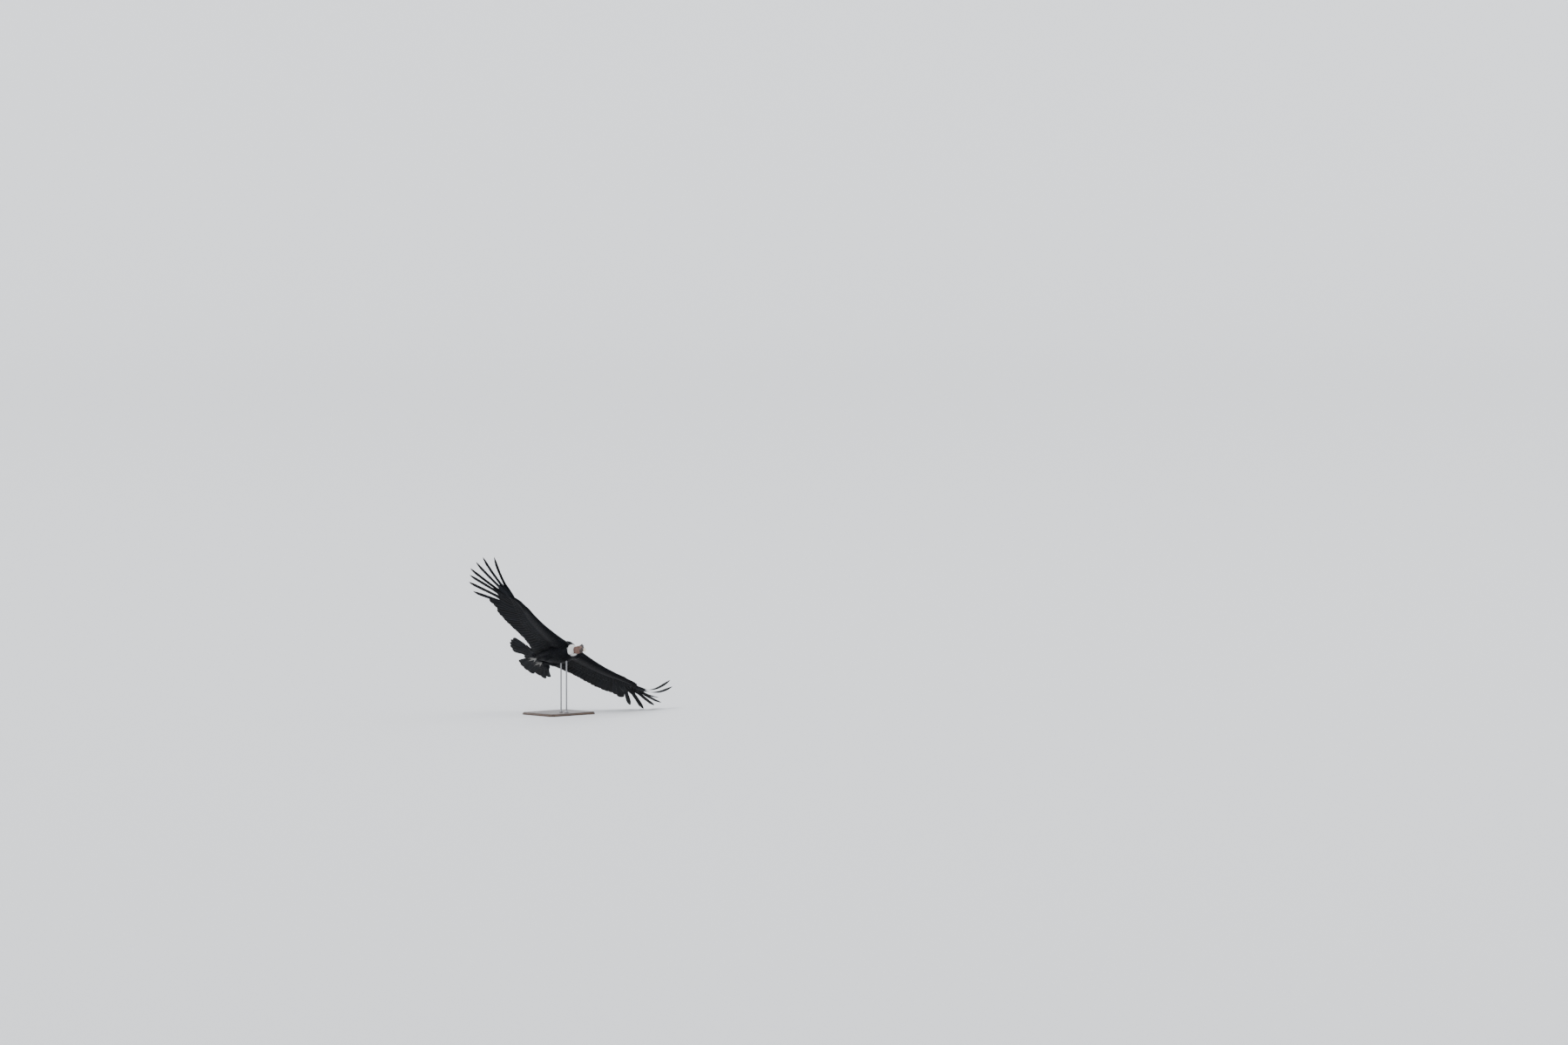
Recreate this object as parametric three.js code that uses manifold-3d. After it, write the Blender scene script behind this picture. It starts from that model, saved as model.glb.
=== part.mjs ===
// An adult male Andean condor in a banked, soaring turn, life size, on a flat base with two rods.
// Millimetres, +Z up. The bird is built level in its own frame, x to its left, y to its back and z up,
// and one group then banks and pitches it over the base. The origin is the middle of the base's underside.
import * as THREE from "three";
import { mergeVertices } from "three/addons/utils/BufferGeometryUtils.js";
import Module from "manifold-3d";

const wasm = await Module();
wasm.setup();

const GAP = 0.35; // clearance that touching pieces keep
const deg = THREE.MathUtils.degToRad;

// Driving dimensions of the pose.
const BANK = deg(32.7); // right wing up
const PITCH = deg(9.7); // nose up
const BODY_HEIGHT = 668; // of the shoulder line over the floor
const BODY_AHEAD = 84; // shoulder line in front of the base's middle

// Driving dimensions of the wing, in u outward from the midline, v forward and w up.
const WING_ROOT = 100;
const WING_Z = 27;
const DIHEDRAL = Math.tan(deg(3.25));
const HAND_RISE = 0.075; // extra slope of the hand
const WRIST_U = 650;
const ELBOW_U = 355;
const HAND_END_U = 935;
const SWEEP = { left: Math.tan(deg(3.5)), right: Math.tan(deg(4.8)) };
const TWIST = { left: Math.tan(deg(6.7)), right: Math.tan(deg(3.2)) };
const CAMBER = 22; // fall of the trailing edge under the chord line
const SECONDARIES = 18;
const VANE = 1.2; // thickness of a vane
const TIER = 5; // height between the tiers of feathers

// Each primary from the innermost to the outermost: length, lean outward from straight back in
// degrees, and how far its tip curls up.
const PRIMARIES = {
  right: [
    [358, 38, 0], [388, 42, 0], [430, 45, 4], [590, 46, 20], [645, 56, 23], [662, 67, 8], [672, 69.5, 50],
    [650, 78, 78], [600, 83, 134], [470, 87, 199],
  ],
  left: [
    [358, 38, 0], [388, 42, 0], [430, 45, 0], [590, 50.5, 4], [645, 60.5, -8], [662, 67, 44], [672, 70, 86],
    [640, 65, 150], [600, 76, 252], [470, 79.5, 289],
  ],
};

// The tail: where its fan is rooted, its roll, and each feather's angle from straight back, right
// side positive, with its length.
const TAIL_ROOT_F = -400;
const TAIL_ROLL = deg(13.6);
const RECTRICES = [
  [66, 350], [56.5, 362], [46.5, 360], [38, 350], [29, 330], [-4, 356], [-11, 376], [-18, 386], [-25.5, 382],
  [-46, 335], [-56, 362], [-65, 312],
];

const clamp01 = (t) => Math.min(1, Math.max(0, t));
const smooth = (t) => clamp01(t) ** 2 * (3 - 2 * clamp01(t));
const mix = (a, b, t) => a + (b - a) * t;

// A smooth value along stations [[at, value], ...], where value may be an array.
function along(stations, at) {
  const last = stations.length - 1;
  if (at <= stations[0][0]) return stations[0].slice(1);
  if (at >= stations[last][0]) return stations[last].slice(1);
  const i = stations.findIndex((s) => s[0] > at) - 1;
  const a = stations[Math.max(0, i - 1)];
  const b = stations[i];
  const c = stations[i + 1];
  const d = stations[Math.min(last, i + 2)];
  const t = (at - b[0]) / (c[0] - b[0]);
  return b.slice(1).map((vb, k) => {
    const vc = c[k + 1];
    const mb = ((vc - a[k + 1]) / (c[0] - a[0])) * (c[0] - b[0]);
    const mc = ((d[k + 1] - vb) / (d[0] - b[0])) * (c[0] - b[0]);
    const t2 = t * t;
    const t3 = t2 * t;
    return (2 * t3 - 3 * t2 + 1) * vb + (t3 - 2 * t2 + t) * mb + (3 * t2 - 2 * t3) * vc + (t3 - t2) * mc;
  });
}

// A closed solid from points and triangles, turned to face outwards.
function solidFrom(points, faces) {
  const geometry = new THREE.BufferGeometry();
  geometry.setAttribute("position", new THREE.Float32BufferAttribute(points.flatMap((p) => [p.x, p.y, p.z]), 3));
  geometry.setIndex(faces.flat());
  return solidOf(geometry);
}

function solidOf(geometry) {
  const bare = geometry.clone();
  bare.deleteAttribute("normal");
  bare.deleteAttribute("uv");
  const merged = mergeVertices(bare, 1e-4);
  const vertProperties = merged.attributes.position.array;
  const triVerts = new Uint32Array(merged.index.array);
  const solid = new wasm.Manifold(new wasm.Mesh({ numProp: 3, vertProperties, triVerts }));
  if (solid.volume() > 0) return solid;
  for (let i = 0; i < triVerts.length; i += 3) [triVerts[i], triVerts[i + 1]] = [triVerts[i + 1], triVerts[i]];
  return new wasm.Manifold(new wasm.Mesh({ numProp: 3, vertProperties, triVerts }));
}

// Rings of equal count joined in order, with a fan of triangles over each end.
function loft(rings) {
  const count = rings[0].length;
  const points = rings.flat();
  const faces = [];
  for (let r = 0; r + 1 < rings.length; r++)
    for (let k = 0; k < count; k++) {
      const a = r * count + k;
      const b = r * count + ((k + 1) % count);
      faces.push([a, b, b + count], [a, b + count, a + count]);
    }
  for (const [ring, flip] of [[0, true], [rings.length - 1, false]]) {
    const middle = rings[ring].reduce((s, p) => s.add(p), new THREE.Vector3()).divideScalar(count);
    points.push(middle);
    for (let k = 0; k < count; k++) {
      const a = ring * count + k;
      const b = ring * count + ((k + 1) % count);
      faces.push(flip ? [b, a, points.length - 1] : [a, b, points.length - 1]);
    }
  }
  return solidFrom(points, faces);
}

// A superellipse ring round the y axis of the bird, at f forward.
function ringAt(f, cz, rx, rz, count, power = 2, roll = 0) {
  return Array.from({ length: count }, (_, k) => {
    const a = (2 * Math.PI * k) / count;
    const c = Math.cos(a);
    const s = Math.sin(a);
    const x = rx * Math.sign(c) * Math.abs(c) ** (2 / power);
    const z = rz * Math.sign(s) * Math.abs(s) ** (2 / power);
    return new THREE.Vector3(
      x * Math.cos(roll) + z * Math.sin(roll),
      -f,
      cz - x * Math.sin(roll) + z * Math.cos(roll),
    );
  });
}

// A tube of round sections along points, each {p, r} or {p, rx, rz}, upright to the path.
function tube(stations, count, up = new THREE.Vector3(0, 0, 1)) {
  const rings = stations.map((s, i) => {
    const before = stations[Math.max(0, i - 1)].p;
    const after = stations[Math.min(stations.length - 1, i + 1)].p;
    const way = after.clone().sub(before).normalize();
    const across = new THREE.Vector3().crossVectors(way, up).normalize();
    const over = new THREE.Vector3().crossVectors(across, way).normalize();
    return Array.from({ length: count }, (_, k) => {
      const a = (2 * Math.PI * k) / count;
      return s.p
        .clone()
        .addScaledVector(across, (s.rx ?? s.r) * Math.cos(a))
        .addScaledVector(over, (s.rz ?? s.r) * Math.sin(a));
    });
  });
  return loft(rings);
}

// An ellipsoid of few faces.
function blob(at, radii, around = 7, high = 4, turn = 0) {
  const geometry = new THREE.SphereGeometry(1, around, high);
  geometry.scale(...radii);
  if (turn) geometry.rotateX(turn);
  geometry.translate(at.x, at.y, at.z);
  return solidOf(geometry);
}

const fuse = (solids) => wasm.Manifold.union(solids);

// Only the largest closed body, so that no loose scrap is left.
function largest(solid) {
  return solid.decompose().reduce((a, b) => (b.volume() > a.volume() ? b : a));
}

const V = (left, forward, up) => new THREE.Vector3(left, -forward, up);

// Wing edges, as [u, v].
const LEADING = [[60, 136], [100, 138], [200, 134], [300, 126], [450, 119], [600, 126], [720, 134], [850, 118], [935, 88], [960, 70]];
const TRAILING = [[60, -392], [140, -372], [200, -340], [350, -297], [500, -284], [700, -273], [850, -255], [950, -240], [1080, -216]];
const CORE_CHORD = [[60, 220], [350, 190], [600, 150], [720, 112], [860, 62], [935, 34]];
const CORE_THICK = [[60, 92], [110, 78], [200, 54], [400, 38], [650, 27], [800, 19], [935, 9]];
const leadingV = (u) => along(LEADING, u)[0];
const ROOT_SHORTER = { left: 26, right: 0 }; // of the innermost feathers' reach
const trailingV = (u, side) => along(TRAILING, u)[0] + ROOT_SHORTER[side] * (1 - smooth((u - 60) / 260));
const coreChord = (u) => along(CORE_CHORD, u)[0];
const coreThick = (u) => along(CORE_THICK, u)[0];
const rearV = (u) => leadingV(u) - coreChord(u);

// A point of a wing in the bird's frame.
function wingPoint(side, u, v, w) {
  const sign = side === "left" ? 1 : -1;
  const bend = 80 * Math.log(1 + Math.exp((u - WRIST_U) / 80)) * HAND_RISE;
  const depth = clamp01((leadingV(Math.min(u, 950)) - v) / 420);
  const z = WING_Z + DIHEDRAL * (u - WING_ROOT) + bend + TWIST[side] * v - CAMBER * depth * depth + w;
  return new THREE.Vector3(sign * u, -(v + SWEEP[side] * (u - WING_ROOT)), z);
}

// One feather: a thin vane along its quill, set out at stations from root to tip, with one edge
// raised over its neighbour.
function vane(side, feather) {
  const { u, v, w, lean, length, width, shape, lift = 0, rise = 2, drop = 0, tilt, turn = 0, stations, lead } = feather;
  const top = [];
  const bottom = [];
  for (const s of stations) {
    const heading = lean + (turn * (s - 1)) / 2;
    const cu = u + Math.sin(heading) * s * length;
    const cv = v - Math.cos(heading) * s * length;
    const edge = heading + (turn * s) / 2;
    const wide = width * shape(s);
    const high = w + lift * s ** rise + drop * s;
    const half = (VANE / 2) * (s > 0.9 ? 0.6 : 1);
    for (const off of [-wide * (1 - lead), wide * lead]) {
      const eu = cu + Math.cos(edge) * off;
      const ev = cv + Math.sin(edge) * off;
      top.push(wingPoint(side, eu, ev, high + tilt * off + half));
      bottom.push(wingPoint(side, eu, ev, high + tilt * off - half));
    }
  }
  return plate(top, bottom, stations.length - 1, 2);
}

// A thin closed plate between two like grids of points, split into triangles alike on both faces.
function plate(top, bottom, steps, ribs) {
  const n = top.length;
  const at = (i, k) => i * ribs + k;
  const faces = [];
  for (let i = 0; i < steps; i++)
    for (let k = 0; k + 1 < ribs; k++) {
      const [a, b, c, d] = [at(i, k), at(i, k + 1), at(i + 1, k + 1), at(i + 1, k)];
      faces.push([a, b, c], [a, c, d], [a + n, c + n, b + n], [a + n, d + n, c + n]);
    }
  const rim = [];
  for (let k = 0; k + 1 < ribs; k++) rim.push([at(0, k + 1), at(0, k)], [at(steps, k), at(steps, k + 1)]);
  for (let i = 0; i < steps; i++) rim.push([at(i, 0), at(i + 1, 0)], [at(i + 1, ribs - 1), at(i, ribs - 1)]);
  for (const [a, b] of rim) faces.push([a, b, b + n], [a, b + n, a + n]);
  return solidFrom([...top, ...bottom], faces);
}

// Outlines of feathers, as the share of full width at s from quill to tip.
const tipShape = (s, blunt) => Math.sqrt(clamp01((1.015 - s) / blunt));
const fingerShape = (s) => mix(0.16, 1, smooth(s / 0.22)) * mix(1, 0.6, smooth((s - 0.36) / 0.16)) * tipShape(s, 0.16);
const broadShape = (s) => mix(0.2, 1, smooth(s / 0.35)) * mix(1, 0.5, clamp01((s - 0.8) / 0.2) ** 2);
const FINGER_STATIONS = [0, 0.19, 0.38, 0.62, 0.9, 1];
const BROAD_STATIONS = [0, 0.32, 0.82, 1];
const COVERT_STATIONS = [0, 0.45, 1];

// A core section of the wing: nose, top, rear edge and underside.
const SECTION = [[0, 0], [0.05, 1], [0.2, 1], [0.5, 1], [1, 1], [1, -1], [0.5, -1], [0.2, -1], [0.05, -1]];
const bulge = (x) => (1.48 * Math.sqrt(x) - 0.63 * x - 1.76 * x * x + 1.42 * x ** 3 - 0.51 * x ** 4) * 2;
function coreRing(side, u) {
  const chord = coreChord(u);
  return SECTION.map(([x, face]) => {
    const half = face * Math.max((coreThick(u) / 2) * bulge(x), 1.6);
    return wingPoint(side, u, leadingV(u) - x * chord, face ? half : 0);
  });
}

function wingCore(side, from, to, steps) {
  return loft(Array.from({ length: steps + 1 }, (_, i) => coreRing(side, mix(from, to, i / steps))));
}

// The flight feathers and coverts as lists of vane sizes, each with the place of its root.
function primaries(side) {
  return PRIMARIES[side].map(([length, lean, lift], i) => {
    const t = i / 9;
    const finger = i > 2;
    return {
      u: mix(690, 905, t), v: mix(40, 92, t), w: 0, lean: deg(lean), length,
      width: mix(80, 64, t), shape: finger ? fingerShape : broadShape, lift,
      rise: lift > 220 ? 2.7 : 1.9, tilt: 0.055, turn: finger ? deg(-4) : deg(2),
      stations: finger ? FINGER_STATIONS : BROAD_STATIONS, lead: 0.38,
    };
  });
}

function secondaries(side) {
  return Array.from({ length: SECONDARIES }, (_, i) => {
    const t = i / (SECONDARIES - 1);
    const u = mix(668, 128, t);
    const lean = deg(mix(35, -2, smooth(t * 1.15)));
    const v = rearV(u) + 18;
    const reach = v - trailingV(u + Math.sin(lean) * 280, side) + 3 * Math.sin(i * 2.3);
    return {
      u, v, w: 0, lean, length: reach / Math.cos(lean), width: 76, shape: broadShape,
      tilt: 0.055, stations: BROAD_STATIONS, lead: 0.42,
    };
  });
}

// A row of coverts on one face of the wing, rooted at a share of the core's chord.
function coverts(face, share, reach, level, count, width) {
  return Array.from({ length: count }, (_, i) => {
    const u = mix(886, 132, i / (count - 1));
    const outer = mix(40, 76, (u - WRIST_U) / 236);
    const inner = mix(34, -2, smooth((WRIST_U - u) / 480));
    const v = leadingV(u) - coreChord(u) * share;
    const root = face * (coreThick(u) / 2) * bulge(share) * 0.55;
    const length = coreChord(u) * (1 - share) + reach * mix(0.8, 1, clamp01((WRIST_U - u) / 100));
    return {
      u, v, w: root, drop: face * level - root, lean: deg(u > WRIST_U ? outer : inner), length, width,
      shape: broadShape, tilt: 0.05, stations: COVERT_STATIONS, lead: 0.45,
    };
  });
}

function alula() {
  return Array.from({ length: 3 }, (_, i) => ({
    u: WRIST_U + 12 + i * 9, v: leadingV(WRIST_U) - 20 + i * 5, w: 9 - i * 3, lean: deg(72 + i * 7),
    length: 128 - i * 26, width: 26, shape: broadShape, lift: 8, tilt: 0.1, stations: COVERT_STATIONS, lead: 0.5,
  }));
}

// The line across the wing, in u and v, where one length of it ends and the next begins: straight
// over the flesh, then leaning outwards with the feathers.
const FAR = 2000;
function cutLine(u, lean) {
  const v = rearV(u) + 12;
  return [[u, FAR], [u, v], [u + Math.tan(deg(lean)) * (v + 700), -700], [u + Math.tan(deg(lean)) * (v + 700), -FAR]];
}
const WRIST_CUT = cutLine(WRIST_U, 36.5);
const ELBOW_CUT = cutLine(ELBOW_U, 13.5);

function region(side, inner, outer) {
  const sign = side === "left" ? 1 : -1;
  const toPlan = ([u, v], shift) => new THREE.Vector2(sign * (u + shift), -(v + SWEEP[side] * (u - WING_ROOT)));
  const innerLine = inner.map((p) => toPlan(p, GAP / 2));
  const outerLine = outer.map((p) => toPlan(p, -GAP / 2)).reverse();
  const geometry = new THREE.ExtrudeGeometry(new THREE.Shape([...innerLine, ...outerLine]), { depth: 1600, bevelEnabled: false });
  geometry.translate(0, 0, -600);
  return solidOf(geometry);
}

const ROOT_CUT = [[20, FAR], [20, -FAR]];
const TIP_CUT = [[FAR, FAR], [FAR, -FAR]];
const PARTS_OF_WING = {
  arm: { from: 40, to: ELBOW_U + 40, steps: 4, inner: ROOT_CUT, outer: ELBOW_CUT, low: 0, high: ELBOW_U },
  forearm: { from: ELBOW_U - 40, to: WRIST_U + 60, steps: 5, inner: ELBOW_CUT, outer: WRIST_CUT, low: ELBOW_U, high: WRIST_U },
  hand: { from: WRIST_U - 60, to: HAND_END_U, steps: 6, inner: WRIST_CUT, outer: TIP_CUT, low: WRIST_U, high: FAR },
};

function wingPart(side, part, clearOf) {
  const p = PARTS_OF_WING[part];
  const near = (f) => f.u > p.low - 60 && f.u < p.high + 60;
  const feathers = [
    ...secondaries(side),
    ...coverts(1, 0.72, 92, TIER, 12, 90),
    ...coverts(1, 0.42, 34, 2.1 * TIER, 10, 98),
    ...coverts(-1, 0.72, 84, TIER, 10, 106),
  ].filter(near);
  if (part === "hand") feathers.push(...primaries(side), ...alula());
  if (part === "forearm") feathers.push(primaries(side)[0]);
  const whole = fuse([wingCore(side, p.from, p.to, p.steps), ...feathers.map((f) => vane(side, f))]);
  return largest(whole.intersect(region(side, p.inner, p.outer)).subtract(clearOf));
}

// The torso, from the base of the neck to the root of the tail: [f, centre height, half width, half depth].
const TORSO = [
  [-400, -3, 62, 30], [-340, -6, 76, 42], [-270, -10, 90, 59], [-190, -12, 106, 80], [-110, -9, 118, 93],
  [-40, -1, 122, 100], [20, 9, 117, 103], [70, 17, 102, 96], [110, 19, 80, 81], [140, 16, 56, 58],
];
function torso(grow = 0) {
  const steps = 11;
  const rings = Array.from({ length: steps + 1 }, (_, i) => {
    const f = mix(-400 - grow, 140 + grow, i / steps);
    const [cz, rx, rz] = along(TORSO, f);
    return ringAt(f, cz, rx + grow, rz + grow, 18, 2.2);
  });
  return loft(rings);
}

// The bare neck with its rings of loose skin, and the ruff of down round its base.
const NECK = [[100, 8, 43, 47], [140, 6, 43, 47], [190, 1, 37, 43], [232, -2, 30, 37]];
function neck(grow = 0) {
  const steps = 12;
  const rings = Array.from({ length: steps + 1 }, (_, i) => {
    const f = mix(100, 230 + grow, i / steps);
    const [cz, rx, rz] = along(NECK, f);
    const fold = i > 1 ? (i % 2 ? 1.6 : -1.2) : 0;
    return ringAt(f - fold, cz, rx + fold + grow, rz + fold + grow, 12);
  });
  return loft(rings);
}

// A flat, tapered lock that bends from its root's heading towards the lie.
function lock(root, heading, lie, length, width, thick) {
  const rings = [];
  let p = root.clone();
  for (let i = 0; i <= 2; i++) {
    const s = i / 2;
    const way = heading.clone().lerp(lie, s ** 1.3).normalize();
    const across = new THREE.Vector3().crossVectors(heading, lie).normalize();
    const over = new THREE.Vector3().crossVectors(across, way).normalize();
    const wide = width * [0.75, 1, 0.42][i];
    const deep = thick * [1, 0.9, 0.3][i];
    rings.push([[wide, 0], [0, deep], [-wide, 0], [0, -deep]].map(([a, b]) =>
      p.clone().addScaledVector(across, a / 2).addScaledVector(over, b / 2)));
    p = p.clone().addScaledVector(way, length / 2);
  }
  return loft(rings);
}

// Rows of locks round the neck, from the front one to the last, all lying back over the one behind:
// [f of the root, radius of the root, outward, length].
const RUFF_ROWS = [[196, 35, 0.5, 36], [176, 39, 0.56, 40], [155, 43, 0.5, 42], [134, 45, 0.42, 40]];
const RUFF_COUNT = 10;
const RUFF_GAP = deg(34); // bare skin down the throat
function ruff() {
  const places = [[124, 46], [150, 47], [178, 42], [196, 36]];
  const core = loft(places.map(([f, r]) => ringAt(f, 10 - (f - 124) * 0.12, r, r * 1.03, 12)));
  const locks = RUFF_ROWS.flatMap(([f, radius, out, length], row) =>
    Array.from({ length: RUFF_COUNT }, (_, i) => {
      const t = (i + (row % 2) * 0.5 + 0.25) / RUFF_COUNT;
      const a = mix(RUFF_GAP / 2, 2 * Math.PI - RUFF_GAP / 2, t) - Math.PI / 2;
      const outward = V(Math.cos(a), 0, Math.sin(a));
      const root = V(radius * Math.cos(a), f, 10 - (f - 124) * 0.12 + radius * Math.sin(a));
      const heading = outward.clone().addScaledVector(V(0, 1, 0), -0.2).normalize();
      const lie = outward.clone().multiplyScalar(out * 0.4).add(V(0, -1, 0)).normalize();
      return lock(root, heading, lie, length * (1 + 0.08 * Math.sin(7 * i + 3 * row)), 28, 9);
    }),
  );
  return fuse([core, ...locks]);
}

// The head in its own frame, x left, y back, z up, origin between the eyes.
const HEAD_AT = V(0, 267, -5);
const HEAD_SIZE = 1.14;
const HEAD_PITCH = deg(4); // bill down
const HEAD = [
  [-60, 2, 8, 10], [-56, 2, 17, 22], [-42, 3, 26, 33], [-22, 4, 30, 37], [-4, 4, 29.5, 36], [14, 2, 26, 32],
  [28, 1, 20.5, 26], [40, 0, 15.5, 20], [52, 0, 12.5, 16], [61, 0, 11, 13.5],
];
function skull(grow = 0) {
  const rings = HEAD.map(([f, cz, rx, rz], i) => ringAt(f + (i ? grow : -grow), cz, rx + grow, rz + grow, 14, 2.15));
  return loft(rings);
}

const EYE = { x: 26.5, f: 8, z: 9, r: 8.2 };
function eye(sign, grow = 0) {
  return blob(V(sign * (EYE.x - 3.4), EYE.f, EYE.z), [EYE.r + grow, EYE.r + grow, EYE.r + grow], 11, 7);
}

function lid(sign) {
  const ring = new THREE.TorusGeometry(EYE.r - 0.2, 2.2, 4, 10);
  ring.scale(1.08, 0.92, 1);
  ring.rotateY(Math.PI / 2);
  ring.rotateZ(sign * deg(-9));
  ring.translate(sign * (EYE.x - 1), -EYE.f, EYE.z);
  return solidOf(ring);
}

// The cup of the ear behind and below the eye.
function ear(sign) {
  const rim = new THREE.TorusGeometry(6.5, 1.9, 4, 9);
  rim.rotateY(Math.PI / 2);
  rim.translate(sign * 29.3, 25, -3);
  return solidOf(rim);
}

function head(clearOf) {
  const flesh = [skull()];
  const cuts = [];
  for (const sign of [1, -1]) {
    flesh.push(lid(sign), ear(sign));
    cuts.push(eye(sign, GAP), blob(V(sign * 31, -25, -3), [5, 5, 5], 7, 4));
    // Warts and folds of bare skin over the cheek and behind the eye.
    for (let i = 0; i < 3; i++)
      flesh.push(blob(V(sign * (27 - i), -14 - i * 11, 20 - i * 5), [6, 8.5, 5 + (i % 2)], 6, 4, deg(20)));
    flesh.push(blob(V(sign * 19, 26, -8), [6.5, 14, 6], 7, 4, deg(-12)));
    cuts.push(blob(V(sign * 12.5, 47, 4.5), [4.5, 7, 2.9], 7, 4)); // nostril
  }
  // The wattle under the throat.
  flesh.push(blob(V(0, -2, -35), [9, 20, 9], 7, 5, deg(-14)), blob(V(0, -26, -34), [11, 18, 10], 7, 5));
  const mouth = new THREE.BoxGeometry(80, 34, 1.1);
  mouth.translate(0, -44, -7.5);
  cuts.push(solidOf(mouth));
  return largest(fuse(flesh).subtract(fuse([...cuts, ...clearOf])));
}

// The comb: a thick, lobed blade of flesh from the bill's root to the crown.
function comb() {
  const rings = Array.from({ length: 11 }, (_, i) => {
    const t = i / 10;
    const f = mix(-24, 53, t);
    const base = mix(34, 10, smooth(t)) - 4;
    const high = 6 + 33 * Math.sin(Math.PI * clamp01(0.1 + t * 0.86)) ** 0.8 + 2.2 * Math.cos(t * 19);
    const thick = 3 + 5 * Math.sin(Math.PI * clamp01(0.08 + t * 0.86));
    return Array.from({ length: 10 }, (_, k) => {
      const a = (2 * Math.PI * k) / 10;
      const c = Math.cos(a);
      return V(thick * Math.sign(c) * Math.abs(c) ** 0.8, f, base + high / 2 + (high / 2) * Math.sin(a));
    });
  });
  return loft(rings);
}

// The horny tip of the bill, hooked over the lower half.
const HOOK = [[56, 1.5, 10.6, 13], [66, 2, 10.2, 12.8], [75, 0, 9.2, 12.3], [82.5, -4.5, 7.8, 11], [87.5, -11.5, 6, 8.4], [90, -20, 4, 5.4], [89.6, -30.5, 1.2, 1.6]];
function upperBill() {
  const solid = tube(HOOK.map(([f, z, rx, rz]) => ({ p: V(0, f, z), rx, rz })), 12, new THREE.Vector3(0, 0.55, 1));
  const gape = new THREE.BoxGeometry(60, 60, 40);
  gape.translate(0, -46, -27.4);
  return largest(solid.subtract(solidOf(gape)));
}

const JAW = [[24, -16, 13, 9.5], [40, -15.5, 10, 7.6], [56, -14.5, 8, 6.2], [70, -13.5, 6.2, 5], [79, -13, 3, 3]];
function lowerBill() {
  return tube(JAW.map(([f, z, rx, rz]) => ({ p: V(0, f, z), rx, rz })), 12);
}

// A thigh under its feathers, laid back along the belly.
const THIGH = [[-86, 62, -62, 30], [-130, 62, -72, 38], [-185, 59, -75, 37], [-240, 53, -69, 29], [-290, 46, -64, 20], [-325, 43, -60, 13]];
function thigh(sign, grow = 0) {
  const stations = THIGH.map(([f, x, z, r]) => ({ p: V(sign * x, f, z), rx: r * 0.8 + grow, rz: r + grow }));
  return tube(stations, 11);
}

// The bare shank and the four toes, trailing under the tail, each with its own claw.
const TOES = [
  { angle: -28, length: 62, r: 7.4, claw: 22 },
  { angle: 1, length: 92, r: 8, claw: 26 },
  { angle: 31, length: 66, r: 7.4, claw: 23 },
  { angle: 242, length: 24, r: 6, claw: 15 },
];
const ANKLE = { f: -396, x: 43, z: -53 };
function toePath(sign, toe, from, to, count) {
  const a = deg(toe.angle);
  return Array.from({ length: count }, (_, i) => {
    const d = mix(from, to, i / (count - 1));
    const curl = 3.2 * (d / 60) ** 2 * (toe.angle > 90 ? 9 : 1);
    return V(sign * (ANKLE.x + Math.sin(a) * d), ANKLE.f - Math.cos(a) * d * 0.97, ANKLE.z - curl);
  });
}

function toe(sign, t) {
  const points = toePath(sign, t, 0, t.length, 6);
  return tube(points.map((p, i) => ({ p, r: t.r * (i % 2 ? 1 : 0.86) * mix(1.05, 0.8, i / 5) })), 6);
}

function claw(sign, t) {
  const points = toePath(sign, t, t.length - 4, t.length + t.claw, 4);
  const bend = toePath(sign, t, t.length - 4, t.length - 4, 2)[0];
  return tube(
    points.map((p, i) => {
      const down = 9 * (i / 3) ** 2;
      const back = p.clone().setZ(p.z - down);
      return { p: i ? back : bend, r: mix(t.r * 0.72, 0.5, (i / 3) ** 1.2) };
    }),
    5,
  );
}

const SHANK = [[-308, 43, -62, 10.5], [-335, 43, -60.5, 9], [-370, 43, -57, 9], [-392, 43, -54, 11.5], [-408, 43, -53, 10.5]];
function foot(sign, clearOf) {
  const shank = tube(
    SHANK.map(([f, x, z, r]) => ({ p: V(sign * x, f, z), r })),
    10,
  );
  return largest(fuse([shank, ...TOES.map((t) => toe(sign, t))]).subtract(clearOf));
}

// The tail: a flat root under its coverts, and twelve broad feathers, the middle ones uppermost.
// A point of its plane lies right of the middle and back from the fan's root.
function tailPoint(right, back, w) {
  const roll = TAIL_ROLL * smooth((back + 40) / 90);
  const left = w * Math.sin(roll) - right * Math.cos(roll);
  return V(left, TAIL_ROOT_F - back, -2 + w * Math.cos(roll) + right * Math.sin(roll));
}

// A vane of the tail, from a root beside the rump to a tip that is set by its angle and length.
function tailVane(angle, w, length, width, stations, tilt, drop = 0) {
  const a = deg(angle);
  const root = [62 * Math.sin(a), 30 - 32 * Math.sin(a) ** 2];
  const tip = [length * Math.sin(a), length * Math.cos(a)];
  const long = Math.hypot(tip[0] - root[0], tip[1] - root[1]);
  const way = [(tip[0] - root[0]) / long, (tip[1] - root[1]) / long];
  const top = [];
  const bottom = [];
  for (const s of stations) {
    const wide = (width / 2) * broadShape(s);
    const half = (VANE / 2) * (s > 0.9 ? 0.6 : 1);
    for (const off of [-wide, wide]) {
      const right = mix(root[0], tip[0], s) + way[1] * off;
      const back = mix(root[1], tip[1], s) - way[0] * off;
      const high = w - drop * s + tilt * off;
      top.push(tailPoint(right, back, high + half));
      bottom.push(tailPoint(right, back, high - half));
    }
  }
  return plate(top, bottom, stations.length - 1, 2);
}

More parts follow.
